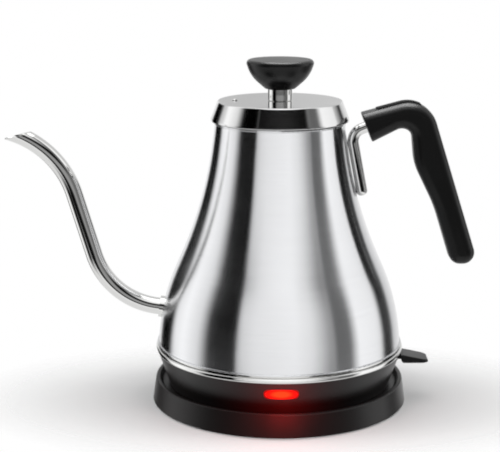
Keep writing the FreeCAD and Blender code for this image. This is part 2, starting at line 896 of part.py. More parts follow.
def make_body_shell():
    """Spun steel body: waisted side, rolled mouth, beaded foot and the hole behind the spout."""
    body = new_body("body_shell")
    mouth = d.neck_radius + d.mouth_bead
    bead = d.foot_radius + d.foot_bead
    turn(body, [
        (mouth_radius, body_top),
        (mouth, body_top, d.mouth_bead_round),
        (mouth, mouth_under, d.mouth_bead_round),
        (d.neck_radius, mouth_under),
        *body_side(),
        (d.foot_radius, bead_top),
        (bead, bead_top, d.foot_bead_round),
        (bead, body_foot, d.foot_bead_round),
        (d.foot_radius - d.body_wall, body_foot),
        *reversed(body_side(d.body_wall)),
    ], "side")
    sketch = new_sketch(body, "YZ_Plane", "spout_hole_outline")
    draw_circle(sketch, 0, 0, d.spout_radius - d.spout_wall)
    aim_upright(sketch, *spout_start, spout_slope)
    pocket(body, sketch, d.spout_root_depth + d.spout_radius, "spout_hole", reverse=True)


def make_spout():
    """Gooseneck tube, seated on the body at its root and cut to a pouring lip at its tip."""
    body = new_body("spout")
    path = [spout_start, (*spout_low, d.spout_low_bend), (*spout_high, d.spout_high_bend), spout_end]
    pipe(body, path, d.spout_radius, spout_slope, "tube")
    pipe(body, path, d.spout_radius - d.spout_wall, spout_slope, "bore", cutting=True)
    turn_away(body, body_outside(), "root_seat")
    lip = (spout_end[0] - d.spout_lip_back, spout_end[1] - d.spout_lip_drop)
    # Far enough to clear the tube on all sides
    reach = d.spout_radius * 6
    across, up = reach * cosine(d.spout_mouth_slope), reach * sine(d.spout_mouth_slope)
    sketch = new_sketch(body, "XZ_Plane", "mouth_outline")
    draw_outline(sketch, [
        (lip[0] - across, lip[1] - up),
        (lip[0] + across, lip[1] + up),
        (lip[0] + across, lip[1] + reach),
        (lip[0] - across, lip[1] + reach),
    ])
    pocket(body, sketch, reach, "mouth", symmetric=True)


def make_spout_collar():
    """Weld ring round the spout where it leaves the body."""
    body = new_body("spout_collar")
    sketch = new_sketch(body, "YZ_Plane", "ring_outline")
    draw_circle(sketch, 0, 0, d.spout_radius + d.spout_collar_width)
    draw_circle(sketch, 0, 0, d.spout_radius + d.pin_gap)
    aim_upright(sketch, *spout_start, spout_slope)
    pad(body, sketch, d.spout_collar_length, "ring")
    turn_away(body, body_outside(), "seat")


def make_trim_ring():
    """Steel ring between the body's foot and the plastic collar: a rounded lip under a groove."""
    body = new_body("trim_ring")
    inner = ring_radius - d.ring_width
    groove = ring_radius - d.ring_groove_depth
    turn(body, [
        (inner, collar_top),
        (ring_radius, collar_top, d.ring_lip_round),
        (ring_radius, ring_lip_top, d.ring_lip_round),
        (groove, ring_lip_top),
        (groove, body_foot),
        (inner, body_foot),
    ], "ring")


def make_boiler_plate():
    """Pressed steel plate that closes the body's foot, with a rim turned down inside the wall."""
    body = new_body("boiler_plate")
    lean = d.belly_inset * d.plate_rise / (belly[1] - body_foot)
    radius = d.foot_radius - d.body_wall - lean - d.fit_gap
    turn(body, [
        (0, plate_under),
        (radius - d.plate_rim_width, plate_under),
        (radius - d.plate_rim_width, body_foot),
        (radius, body_foot),
        (radius, plate_top, d.foot_bead_round),
        (0, plate_top),
    ], "pan")
    sketch = new_sketch(body, "XY_Plane", "steam_hole_outline", plate_top)
    draw_circle(sketch, d.steam_offset, 0, steam_hole)
    pocket(body, sketch, d.plate_thickness, "steam_hole")


def make_heat_spreader():
    """Aluminium disc brazed under the boiler plate."""
    body = new_body("heat_spreader")
    sketch = new_sketch(body, "XY_Plane", "disc_outline", spreader_under)
    draw_circle(sketch, 0, 0, spreader_radius)
    draw_circle(sketch, d.steam_offset, 0, steam_hole)
    pad(body, sketch, d.spreader_thickness, "disc")


def make_heating_element():
    """Open ring of sheathed heater under the spreader, with a terminal pin at each end."""
    body = new_body("heating_element")
    z = spreader_under - d.element_tube
    sketch = new_sketch(body, "XZ_Plane", "sheath_section")
    draw_circle(sketch, d.element_radius, z, d.element_tube)
    sheath = body.newObject("PartDesign::Revolution", "sheath")
    sheath.Profile = sketch
    sheath.ReferenceAxis = (sketch, ["V_Axis"])
    sheath.Midplane = True
    bind(sheath, "Angle", 360 - d.element_half_gap * 2)
    ends = 180 - d.element_half_gap
    sketch = new_sketch(body, "XY_Plane", "pin_outline", z - d.element_pin_length)
    for side in (1, -1):
        draw_circle(sketch, d.element_radius * cosine(ends), d.element_radius * sine(ends) * side,
                    d.element_pin_radius)
    pad(body, sketch, d.element_pin_length, "pins")
    body.Placement = Placement(Vector(), Rotation(Vector(0, 0, 1), 180))


def make_plate_studs():
    """Studs welded under the boiler plate, which the foot is screwed to."""
    studs = []
    for index in range(FOOT_SCREWS):
        across, along = round_way((index + 0.5) / FOOT_SCREWS)
        spot = (stud_circle * across, stud_circle * along)
        stud = cylinder(f"stud_{index}_rod", d.stud_radius, plate_under - ledge_top, *spot, ledge_top)
        bore = cylinder(f"stud_{index}_bore", screw_bore, d.stud_screw_bite + d.seat_gap, *spot, ledge_top)
        studs.append(cut(f"stud_{index}", stud, bore))
    group("plate_studs", studs)


def make_foot_screws():
    """Screws from below through the foot cover and the collar's ledge into the studs."""
    screws = []
    length = ledge_top + d.stud_screw_bite - kettle_bottom
    for index in range(FOOT_SCREWS):
        across, along = round_way((index + 0.5) / FOOT_SCREWS)
        spot = (stud_circle * across, stud_circle * along)
        screws.append(upright_screw(f"foot_screw_{index}", *spot, kettle_bottom, length))
    group("foot_screws", screws)


def stud_holes(body, z, depth, radius, name):
    """Holes on the studs' circle, cut downwards from a height."""
    across, along = round_way(0.5 / FOOT_SCREWS)
    sketch = new_sketch(body, "XY_Plane", f"{name}_outline", z)
    draw_circle(sketch, stud_circle * across, stud_circle * along, radius)
    hole = pocket(body, sketch, depth, name)
    repeat(body, hole, FOOT_SCREWS, f"{name}s")


def make_foot_collar():
    """Tapered plastic collar with a ledge, the lamp's window, the lever's slot, its ears and lamp posts."""
    body = new_body("foot_collar")
    wall = d.collar_wall
    turn(body, [
        (collar_foot_radius, kettle_bottom, d.collar_round),
        (collar_top_radius, collar_top),
        (collar_top_radius - wall, collar_top),
        (collar_radius(ledge_top) - wall, ledge_top),
        (ledge_inner_radius, ledge_top),
        (ledge_inner_radius, foot_cover_top),
        (foot_cover_radius, foot_cover_top),
        (foot_cover_radius, kettle_bottom),
    ], "cone")
    stud_holes(body, ledge_top, d.ledge_thickness, d.screw_radius + d.fit_gap, "screw_hole")
    sketch = new_sketch(body, "XZ_Plane", "window_outline")
    draw_outline(sketch, lens_outline(d.fit_gap))
    pocket(body, sketch, collar_top_radius, "window", reverse=True)
    sketch = new_sketch(body, "YZ_Plane", "slot_outline")
    half = d.lever_arm_half_width + d.lever_slot_room
    draw_outline(sketch, box_outline(-half, pivot_z - d.lever_slot_below, half, pivot_z + d.lever_slot_above))
    pocket(body, sketch, collar_top_radius, "slot", reverse=True)
    inside = d.lever_arm_half_width + d.seat_gap
    sketch = new_sketch(body, "XZ_Plane", "ear_outline", inside)
    left, right = pivot_x - d.ear_half_width, pivot_x + d.ear_half_width
    top = pivot_z + d.ear_half_width
    ear_round = d.ear_half_width - d.seat_gap
    draw_outline(sketch, [
        (left, ledge_top),
        (right, ledge_top),
        (right, top, ear_round),
        (left, top, ear_round),
    ])
    draw_circle(sketch, pivot_x, pivot_z, d.pivot_pin_radius + d.pin_gap)
    ear = pad(body, sketch, d.ear_thickness, "ear")
    mirror = body.newObject("PartDesign::Mirrored", "ears")
    mirror.Originals = [ear]
    mirror.MirrorPlane = (origin_feature(body, "XZ_Plane"), [""])
    body.Tip = mirror
    sketch = new_sketch(body, "XY_Plane", "post_outline", ledge_top)
    near = d.lamp_post_half_pitch - d.lamp_post_half_width
    far = d.lamp_post_half_pitch + d.lamp_post_half_width
    draw_outline(sketch, box_outline(near, -lamp_back, far, d.lamp_board_thickness - lamp_back))
    post = pad(body, sketch, lens_z - d.lamp_board_height / 2 - ledge_top, "post")
    mirror = body.newObject("PartDesign::Mirrored", "posts")
    mirror.Originals = [post]
    mirror.MirrorPlane = (origin_feature(body, "YZ_Plane"), [""])
    body.Tip = mirror


def make_lamp():
    """Red lens flush with the collar, the lamp behind it and the board that carries it."""
    body = new_body("lamp_lens")
    sketch = new_sketch(body, "XZ_Plane", "lens_outline", lens_back)
    draw_outline(sketch, lens_outline(0))
    pad(body, sketch, collar_top_radius - lens_back, "block")
    turn_away(body, [
        (collar_foot_radius, kettle_bottom),
        (base_radius, kettle_bottom),
        (base_radius, collar_top),
        (collar_top_radius, collar_top),
    ], "face")
    sketch = new_sketch(body, "XZ_Plane", "flange_outline", lens_back)
    draw_outline(sketch, lens_outline(d.lens_flange))
    pad(body, sketch, d.lens_flange_thickness, "flange")

    body = new_body("lamp_bulb")
    sketch = new_sketch(body, "XZ_Plane", "bulb_outline", lamp_back)
    draw_circle(sketch, 0, lens_z, d.lamp_radius)
    bulb = pad(body, sketch, d.lamp_length, "bulb")
    doc.recompute()
    tip = (d.lamp_gap - lens_back).value
    round_edges(body, bulb, lambda edge: abs(edge.CenterOfMass.y - tip) < TOUCH,
                d.lamp_radius * LAMP_DOME_SHARE, "dome")

    body = new_body("lamp_board")
    sketch = new_sketch(body, "XZ_Plane", "board_outline", lamp_back - d.lamp_board_thickness)
    half_width, half_height = d.lamp_board_half_width, d.lamp_board_height / 2
    draw_outline(sketch, box_outline(-half_width, lens_z - half_height, half_width, lens_z + half_height))
    pad(body, sketch, d.lamp_board_thickness, "board")


def make_foot_cover():
    """Plate that closes the collar from below, round the socket."""
    body = new_body("foot_cover")
    outer = foot_cover_radius - d.fit_gap
    inner = socket_radius + d.seat_gap
    turn(body, [
        (inner, kettle_bottom),
        (outer, kettle_bottom),
        (outer, foot_cover_top),
        (inner, foot_cover_top),
    ], "plate")
    stud_holes(body, foot_cover_top, d.foot_cover_thickness, d.screw_radius + d.fit_gap, "screw_hole")
    sink = d.screw_head_height
    stud_holes(body, kettle_bottom + sink, sink, d.screw_head_radius + d.fit_gap, "screw_sink")


def make_control():
    """Heater control under the spreader, slotted for the lever's tongue, and its bimetal disc."""
    body = new_body("control_housing")
    recess_radius = d.bimetal_radius + d.seat_gap
    recess_floor = spreader_under - d.control_recess
    turn(body, [
        (0, control_under),
        (d.control_radius, control_under),
        (d.control_radius, spreader_under),
        (recess_radius, spreader_under),
        (recess_radius, recess_floor),
        (0, recess_floor),
    ], "case")
    sketch = new_sketch(body, "XY_Plane", "trip_slot_outline", control_under)
    half = d.trip_slot_half_width
    inner = d.control_radius - d.trip_slot_depth
    draw_outline(sketch, box_outline(inner, -half, d.control_radius + half, half))
    pocket(body, sketch, spreader_under - d.trip_slot_roof - control_under, "trip_slot", reverse=True)
    disc = new_body("bimetal_disc")
    dome = d.control_recess - d.bimetal_thickness - d.fit_gap
    turn(disc, [
        (0, recess_floor + dome),
        (d.bimetal_radius, recess_floor),
        (d.bimetal_radius, recess_floor + d.bimetal_thickness),
        (0, recess_floor + dome + d.bimetal_thickness),
    ], "disc")


def make_steam_tube():
    """Tube that leads steam from the neck down to the control, and its seal on the boiler plate."""
    start = spreader_under - d.steam_tail
    length = body_top - d.steam_drop - start
    piece("steam_tube", tube("steam_tube", d.steam_radius, d.steam_radius - d.steam_wall, length,
                             d.steam_offset, 0, start))
    piece("steam_grommet", tube("steam_grommet", d.steam_radius + d.grommet_width, d.steam_radius + d.pin_gap,
                                d.grommet_height, d.steam_offset, 0, plate_top))


def make_switch_lever():
    """Rocking lever: hub on the pin, tongue into the control, neck through the collar and a thumb paddle."""
    body = new_body("switch_lever")
    root = collar_radius(pivot_z) + d.paddle_gap
    half_neck = d.lever_neck_height / 2
    neck_top, neck_under = pivot_z + half_neck, pivot_z - half_neck
    sketch = new_sketch(body, "XZ_Plane", "hub_outline")
    draw_circle(sketch, pivot_x, pivot_z, d.lever_hub_radius)
    pad(body, sketch, d.lever_arm_half_width * 2, "hub", symmetric=True)
    sketch = new_sketch(body, "XZ_Plane", "neck_outline")
    draw_outline(sketch, box_outline(pivot_x, neck_under, root + d.paddle_shoulder, neck_top))
    pad(body, sketch, d.lever_arm_half_width * 2, "neck", symmetric=True)
    tip = root + d.paddle_length
    under = pivot_z - d.paddle_drop
    sketch = new_sketch(body, "XZ_Plane", "paddle_outline")
    draw_outline(sketch, [
        (root, neck_top),
        (root, neck_under),
        (root + d.paddle_heel_run, under, d.paddle_heel_round),
        (tip, under, d.paddle_tip_round),
        (tip - d.paddle_tip_run, neck_top - d.paddle_tip_drop - half_neck, d.paddle_tip_round),
        (root + d.paddle_shoulder, neck_top),
    ])
    pad(body, sketch, d.paddle_half_width * 2, "paddle", symmetric=True)
    side = d.paddle_half_width
    clear, behind = side + d.paddle_shoulder, tip - d.paddle_length / 2
    sketch = new_sketch(body, "XY_Plane", "tip_corner_outline", neck_top)
    draw_outline(sketch, [
        (behind, side),
        (behind, clear),
        (tip + d.paddle_shoulder, clear),
        (tip + d.paddle_shoulder, -clear),
        (behind, -clear),
        (behind, -side),
        (tip, -side, d.paddle_corner_round),
        (tip, side, d.paddle_corner_round),
    ])
    pocket(body, sketch, neck_top - under, "tip_corners")
    tongue = d.control_radius - d.trip_slot_depth + d.lever_tongue_gap
    half = d.lever_tongue_height / 2
    inner_z = pivot_z + d.lever_tongue_rise
    sketch = new_sketch(body, "XZ_Plane", "tongue_outline")
    draw_outline(sketch, [
        (pivot_x, pivot_z - half),
        (pivot_x, pivot_z + half),
        (tongue, inner_z + half),
        (tongue, inner_z - half),
    ])
    pad(body, sketch, d.lever_tongue_half_width * 2, "tongue", symmetric=True)
    sketch = new_sketch(body, "XZ_Plane", "bore_outline")
    draw_circle(sketch, pivot_x, pivot_z, d.pivot_pin_radius + d.pin_gap)
    pocket(body, sketch, d.lever_arm_half_width * 2, "bore", symmetric=True)
    half = d.lever_arm_half_width + d.seat_gap + d.ear_thickness
    pin = cylinder("lever_pin", d.pivot_pin_radius, half * 2, pivot_x, -half, pivot_z, BACKWARDS)
    piece("lever_pin", pin)


def make_handle_rod():
    """Bent steel rod, lying along the body's neck and turning out into the grip."""
    body = new_body("handle_rod")
    slope = heading(rod_elbow[1] - rod_low[1], rod_elbow[0] - rod_low[0])
    pipe(body, [rod_low, (*rod_elbow, d.rod_elbow_bend), rod_end], d.rod_radius, slope, "rod")
    doc.recompute()
    low = rod_low[1].value
    round_edges(body, body.Tip, lambda edge: abs(edge.CenterOfMass.z - low) < d.rod_radius.value,
                d.rod_nose_round, "nose")
    turn_away(body, body_outside(), "seat")
    sketch = new_sketch(body, "XY_Plane", "screw_hole_outline")
    draw_circle(sketch, 0, 0, screw_bore)
    aim_flat(sketch, *grip_screw_spot, d.sleeve_rise)
    pocket(body, sketch, d.rod_radius * 2, "screw_hole")


def make_handle_grip():
    """Moulded grip: a sleeve over the rod's leg, bent down at the crown into an open tail."""
    body = new_body("handle_grip")
    half = d.sleeve_half_height
    x, z = grip_end
    bottom = z - d.grip_back_drop
    top_corner = (x - half * leg_up, z + half * leg_across)
    low_corner = (x + half * leg_up, z - half * leg_across)
    sketch = new_sketch(body, "XZ_Plane", "side_outline")
    draw_outline(sketch, [
        low_corner,
        top_corner,
        (x + d.grip_crown_reach, z + d.grip_crown_rise, d.grip_crown_bend),
        (x + d.grip_back_reach, bottom, d.grip_tail_round),
        (x + d.grip_back_reach - d.grip_tail_width, bottom, d.grip_tail_round),
        (x + d.grip_palm_reach, z - d.grip_palm_drop, d.grip_palm_bend),
        (x + d.grip_finger_reach, z - d.grip_finger_drop, d.grip_finger_bend),
        (x + d.grip_crook_reach, z + d.grip_crook_rise, d.grip_crook_bend),
    ])
    side = pad(body, sketch, d.grip_half_width * 2, "side", symmetric=True)
    doc.recompute()
    middle = Vector(x.value, 0, z.value)
    width = d.grip_half_width.value

    def along_outline(edge):
        """Edges of the two side faces, apart from those of the open end."""
        centre = edge.CenterOfMass
        flat = abs(abs(centre.y) - width) < TOUCH
        return flat and (Vector(centre.x, 0, centre.z) - middle).Length > TOUCH

    rounded = round_edges(body, side, along_outline, d.grip_round, "rounded")
    doc.recompute()
    along = Vector(leg_across.value, 0, leg_up.value)

    def round_open_end(edge):
        """Edges of the open end's face."""
        return all(abs((vertex.Point - middle).dot(along)) < TOUCH for vertex in edge.Vertexes)

    round_edges(body, rounded, round_open_end, d.grip_end_round, "end_rounded")
    sketch = new_sketch(body, "YZ_Plane", "bore_outline")
    draw_circle(sketch, 0, 0, d.rod_radius + d.pin_gap)
    aim_upright(sketch, *grip_end, d.sleeve_rise)
    pocket(body, sketch, d.rod_leg_length - d.sleeve_start + d.grip_bore_end_gap, "bore", reverse=True)
    for name, radius, start in (("screw_hole", d.screw_radius + d.fit_gap, 0),
                                ("screw_sink", d.screw_head_radius + d.fit_gap, grip_screw_seat)):
        sketch = new_sketch(body, "XY_Plane", f"{name}_outline")
        draw_circle(sketch, 0, 0, radius)
        x, z = grip_screw_spot
        aim_flat(sketch, x + start * leg_up, z - start * leg_across, d.sleeve_rise)
        pocket(body, sketch, d.sleeve_half_height * 2, name)


def make_handle_screw():
    """Screw up through the underside of the grip into the rod."""
    tilt = Rotation(Vector(0, 1, 0), -d.sleeve_rise.value)
    x, z = grip_screw_spot
    head_out = grip_screw_seat + d.screw_head_height
    spot = (x + head_out * leg_up, 0, z - head_out * leg_across)
    head = cylinder("grip_screw_head", d.screw_head_radius, d.screw_head_height, *spot, tilt)
    shank = cylinder("grip_screw_shank", d.screw_radius, head_out, *spot, tilt)
    piece("handle_screw", fuse("handle_screw", [head, shank]))


def make_lid():
    """Lid: a low cone with a rolled edge and a vent, and the skirt that fits the mouth."""
    body = new_body("lid_shell")
    bead_inner = lid_radius - d.lid_bead_width
    turn(body, [
        (knob_screw_bore, lid_top),
        (lid_top_radius, lid_top, d.lid_edge_round),
        (lid_radius, lid_bottom + d.lid_bead_height),
        (lid_radius, lid_bottom, d.lid_bead_round),
        (bead_inner, lid_bottom, d.lid_bead_round),
        (bead_inner, lid_bottom + d.lid_bead_height),
        (lid_top_radius - d.lid_wall, lid_top - d.lid_wall),
        (knob_screw_bore, lid_top - d.lid_wall),
    ], "cone")
    sketch = new_sketch(body, "XY_Plane", "vent_outline", lid_top)
    draw_circle(sketch, -d.vent_reach, 0, d.vent_radius)
    pocket(body, sketch, d.lid_wall, "vent")
    skirt = new_body("lid_skirt")
    outer = mouth_radius - d.skirt_gap
    inner = outer - d.skirt_wall
    flange = bead_inner - d.fit_gap
    flange_under = lid_bottom + d.seat_gap
    flange_top = flange_under + d.skirt_wall
    turn(skirt, [
        (inner, lid_bottom - d.skirt_depth),
        (outer, lid_bottom - d.skirt_depth),
        (outer, flange_under),
        (flange, flange_under),
        (flange, flange_top),
        (inner, flange_top),
    ], "skirt")


def make_knob():
    """Knob on its steel stem, and the screw that holds both to the lid."""
    stem = new_body("knob_stem")
    turn(stem, [
        (knob_screw_bore, lid_top),
        (d.stem_radius, lid_top, d.stem_round),
        (d.stem_radius, knob_bottom, d.stem_round),
        (knob_screw_bore, knob_bottom),
    ], "stem")
    knob = new_body("lid_knob")
    rim_z = knob_bottom + d.knob_height
    turn(knob, [
        (knob_screw_bore, knob_bottom),
        (d.knob_foot_radius, knob_bottom, d.stem_round),
        (d.knob_waist_radius, knob_bottom + d.knob_waist_height, d.knob_waist_bend),
        (d.knob_radius, rim_z, d.knob_rim_round),
        (0, rim_z + d.knob_crown),
        (0, knob_bottom + d.knob_bore_depth),
        (knob_screw_bore, knob_bottom + d.knob_bore_depth),
    ], "bowl")
    head_z = lid_top - d.lid_wall - d.knob_screw_head_height
    head = cylinder("knob_screw_head", d.knob_screw_head_radius, d.knob_screw_head_height, z=head_z)
    length = knob_bottom + d.knob_bore_depth - d.seat_gap - head_z
    shank = cylinder("knob_screw_shank", d.knob_screw_radius, length, z=head_z)
    piece("knob_screw", fuse("knob_screw", [head, shank]))


for make in (make_base_housing, make_base_cover, make_base_pads, make_base_screws, make_base_connector,
             make_base_contacts, make_cord_gland, make_socket, make_body_shell, make_spout, make_spout_collar,
             make_trim_ring, make_boiler_plate, make_heat_spreader, make_heating_element, make_plate_studs,
             make_foot_collar, make_foot_cover, make_foot_screws, make_lamp, make_control, make_steam_tube,
             make_switch_lever, make_handle_rod, make_handle_grip, make_handle_screw, make_lid, make_knob):
    make()

doc.recompute()
failed = [thing.Label for thing in doc.Objects if {"Invalid", "Error"} & set(thing.State)]
if failed:
    raise RuntimeError(f"failed: {failed}")
for label, thing in pieces.items():
    if thing.Shape.isNull() or not thing.Shape.isValid():
        raise RuntimeError(f"{label} has no valid shape")

os.makedirs("parts", exist_ok=True)
for label, thing in pieces.items():
    thing.Shape.exportStep(f"parts/{label}.step")
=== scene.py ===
"""Dresses the electric gooseneck kettle: finishes, small made pieces, studio and camera.

The solids come packed as the frame. Each sub-assembly is a class that gives its solids their finishes and
makes the pieces that the solids leave out. Lengths are in metres.
"""

from __future__ import annotations

import logging
import math
from dataclasses import dataclass, field
from enum import Enum
from typing import Any

import bmesh
import bpy
from mathutils import Euler, Matrix, Vector

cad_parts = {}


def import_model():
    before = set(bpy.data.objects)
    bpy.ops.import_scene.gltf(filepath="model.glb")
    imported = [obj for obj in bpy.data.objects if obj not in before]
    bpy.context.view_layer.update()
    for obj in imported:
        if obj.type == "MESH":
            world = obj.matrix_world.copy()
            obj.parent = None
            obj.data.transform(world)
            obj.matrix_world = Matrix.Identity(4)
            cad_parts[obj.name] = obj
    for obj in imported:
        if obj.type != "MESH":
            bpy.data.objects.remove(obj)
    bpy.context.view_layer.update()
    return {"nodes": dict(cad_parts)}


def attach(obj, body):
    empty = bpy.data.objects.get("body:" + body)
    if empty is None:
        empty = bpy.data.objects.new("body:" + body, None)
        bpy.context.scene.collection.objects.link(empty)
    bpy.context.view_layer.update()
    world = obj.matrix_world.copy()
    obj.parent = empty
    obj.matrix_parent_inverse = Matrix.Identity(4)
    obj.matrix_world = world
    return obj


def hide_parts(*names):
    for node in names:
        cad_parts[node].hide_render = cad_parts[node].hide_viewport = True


LOG = logging.getLogger("kettle")
WELD = 1e-6
SHARP_ANGLE = 40.0
ROUND_STEPS = 8
BRUSH_STRETCH = (0.012, 0.012, 1.0)
MARK_START = 0.45
MARK_END = 0.7
LAMP_RED = (1.0, 0.02, 0.02)
WHITE = (1.0, 1.0, 1.0, 1.0)
FILTER_WIDTH = 2.0
Colour = tuple[float, float, float]
Point = tuple[float, float, float]


class Body(str, Enum):
    """The bodies that pieces ride on."""

    BASE = "power_base"
    COUPLER = "coupler"
    KETTLE = "kettle"
    LID = "lid"
    SWITCH = "switch"


class Tree:
    """A node tree that is being filled in."""

    def __init__(self, tree: bpy.types.NodeTree, keep: bool = False) -> None:
        """Takes the tree and empties it.

        Args:
            tree: the material's, world's or group's node tree.
            keep: leave the nodes that are there.
        """
        self.tree = tree
        if not keep:
            self.tree.nodes.clear()

    def add(self, kind: str, inputs: dict[Any, Any] | None = None, **settings: Any) -> bpy.types.Node:
        """Adds a node.

        Args:
            kind: the node's type name.
            inputs: values or output sockets for the node's inputs, by socket name or number.
            settings: the node's own properties.

        Returns:
            The new node.
        """
        node = self.tree.nodes.new(kind)
        for name, value in settings.items():
            setattr(node, name, value)
        for name, value in (inputs or {}).items():
            self.feed(node.inputs[name], value)
        return node

    def feed(self, socket: bpy.types.NodeSocket, value: Any) -> None:
        """Links an output to a socket, or sets the socket's own value.

        Args:
            socket: the input to fill.
            value: an output socket, or a plain value.
        """
        if isinstance(value, bpy.types.NodeSocket):
            self.tree.links.new(value, socket)
        else:
            socket.default_value = value

    def math(self, operation: str, first: Any, second: Any = 0.0) -> bpy.types.NodeSocket:
        """Adds one sum.

        Args:
            operation: the Math node's operation.
            first: a value or an output socket.
            second: a value or an output socket.

        Returns:
            The result's socket.
        """
        return self.add("ShaderNodeMath", {0: first, 1: second}, operation=operation).outputs[0]

    def vector(self, operation: str, first: Any, second: Point = (0.0, 0.0, 0.0)) -> bpy.types.Node:
        """Adds one sum of vectors.

        Args:
            operation: the Vector Math node's operation.
            first: an output socket.
            second: a plain vector.

        Returns:
            The node, with its results Vector and Value.
        """
        return self.add("ShaderNodeVectorMath", {0: first, 1: second}, operation=operation)

    def between(
        self, value: Any, low: Any, high: Any, start: float = 0.0, end: float = 1.0
    ) -> bpy.types.NodeSocket:
        """Spreads one range over another.

        Args:
            value: the output socket that gives the value.
            low: the result at the start.
            high: the result at the end.
            start: the value at the start.
            end: the value at the end.

        Returns:
            The result's socket.
        """
        inputs = {"Value": value, "From Min": start, "From Max": end, "To Min": low, "To Max": high}
        return self.add("ShaderNodeMapRange", inputs).outputs["Result"]

    def ramp(self, share: Any, stops: list[tuple[float, Colour]]) -> bpy.types.NodeSocket:
        """Turns a share into a colour.

        Args:
            share: the output socket that gives the share.
            stops: positions with their colours, in order.

        Returns:
            The colour's socket.
        """
        node = self.add("ShaderNodeValToRGB", {"Fac": share})
        elements = node.color_ramp.elements
        while len(elements) < len(stops):
            elements.new(1.0)
        for element, (position, colour) in zip(elements, stops):
            element.position = position
            element.color = (*colour, 1.0)
        return node.outputs["Color"]

    def tint(self, share: Any, first: Colour, second: Colour) -> bpy.types.NodeSocket:
        """Mixes two colours by a share.

        Args:
            share: the output socket that gives the share.
            first: the colour at 0.
            second: the colour at 1.

        Returns:
            The colour's socket.
        """
        return self.ramp(share, [(0.0, first), (1.0, second)])


class Effect(str, Enum):
    """The surface effects that several finishes share, each one node group."""

    BRUSH_LINES = "brush lines"
    MOULDED_GRAIN = "moulded grain"
    HANDLING_MARKS = "handling marks"

    def group(self) -> bpy.types.NodeTree:
        """Returns the effect's node group, made at its first use."""
        found = bpy.data.node_groups.get(self.value)
        return found or self.make()

    def make(self) -> bpy.types.NodeTree:
        """Makes the effect's node group.

        Returns:
            A group with the inputs Vector, Scale and Detail and the output Mask.
        """
        group = bpy.data.node_groups.new(self.value, "ShaderNodeTree")
        group.interface.new_socket("Vector", in_out="INPUT", socket_type="NodeSocketVector")
        group.interface.new_socket("Scale", in_out="INPUT", socket_type="NodeSocketFloat")
        group.interface.new_socket("Detail", in_out="INPUT", socket_type="NodeSocketFloat")
        group.interface.new_socket("Mask", in_out="OUTPUT", socket_type="NodeSocketFloat")
        tree = Tree(group)
        source = tree.add("NodeGroupInput")
        vector = source.outputs["Vector"]
        if self is Effect.BRUSH_LINES:
            stretch = tree.add("ShaderNodeMapping", {"Vector": vector, "Scale": BRUSH_STRETCH})
            vector = stretch.outputs["Vector"]
        noise = tree.add(
            "ShaderNodeTexNoise",
            {"Vector": vector, "Scale": source.outputs["Scale"], "Detail": source.outputs["Detail"]},
        )
        mask = noise.outputs["Fac"]
        if self is Effect.HANDLING_MARKS:
            mask = tree.between(mask, 0.0, 1.0, MARK_START, MARK_END)
        tree.add("NodeGroupOutput", {"Mask": mask})
        return group


@dataclass(frozen=True)
class Finish:
    """A finish, made into a material at its first use."""

    name: str
    colour: Colour
    roughness: float
    slot: str = ""

    def material(self) -> bpy.types.Material:
        """Returns the finish's material."""
        found = bpy.data.materials.get(self.name)
        return found or self.make()

    def make(self) -> bpy.types.Material:
        """Makes the material and fills its nodes.

        Returns:
            The new material.
        """
        made = bpy.data.materials.new(self.name)
        made.use_nodes = True
        tree = Tree(made.node_tree)
        shader = tree.add("ShaderNodeBsdfPrincipled", {"Roughness": self.roughness})
        shader.inputs["Base Color"].default_value = (*self.colour, 1.0)
        tree.add("ShaderNodeOutputMaterial", {"Surface": shader.outputs["BSDF"]})
        place = tree.add("ShaderNodeTexCoord").outputs["Object"]
        self.fill(tree, shader, place)
        return made

    def fill(self, tree: Tree, shader: bpy.types.Node, place: bpy.types.NodeSocket) -> None:
        """Adds what this kind of finish has beyond a plain colour.

        Args:
            tree: the material's nodes.
            shader: the material's shader.
            place: the surface's own coordinates.
        """

    @staticmethod
    def mask(
        tree: Tree, effect: Effect, place: Any, scale: float, detail: float = 2.0
    ) -> bpy.types.NodeSocket:
        """Places a shared effect.

        Args:
            tree: the material's nodes.
            effect: the shared effect.
            place: the surface's coordinates.
            scale: how many features there are to a metre.
            detail: how many finer layers they carry.

        Returns:
            The effect's mask.
        """
        inputs = {"Vector": place, "Scale": scale, "Detail": detail}
        return tree.add("ShaderNodeGroup", inputs, node_tree=effect.group()).outputs["Mask"]

    @staticmethod
    def bump(tree: Tree, shader: bpy.types.Node, height: Any, depth: float, strength: float) -> None:
        """Roughens the surface.

        Args:
            tree: the material's nodes.
            shader: the material's shader.
            height: the socket that gives the relief from 0 to 1.
            depth: the relief's depth in metres.
            strength: how strongly it shows.
        """
        node = tree.add("ShaderNodeBump", {"Height": height, "Distance": depth, "Strength": strength})
        tree.feed(shader.inputs["Normal"], node.outputs["Normal"])


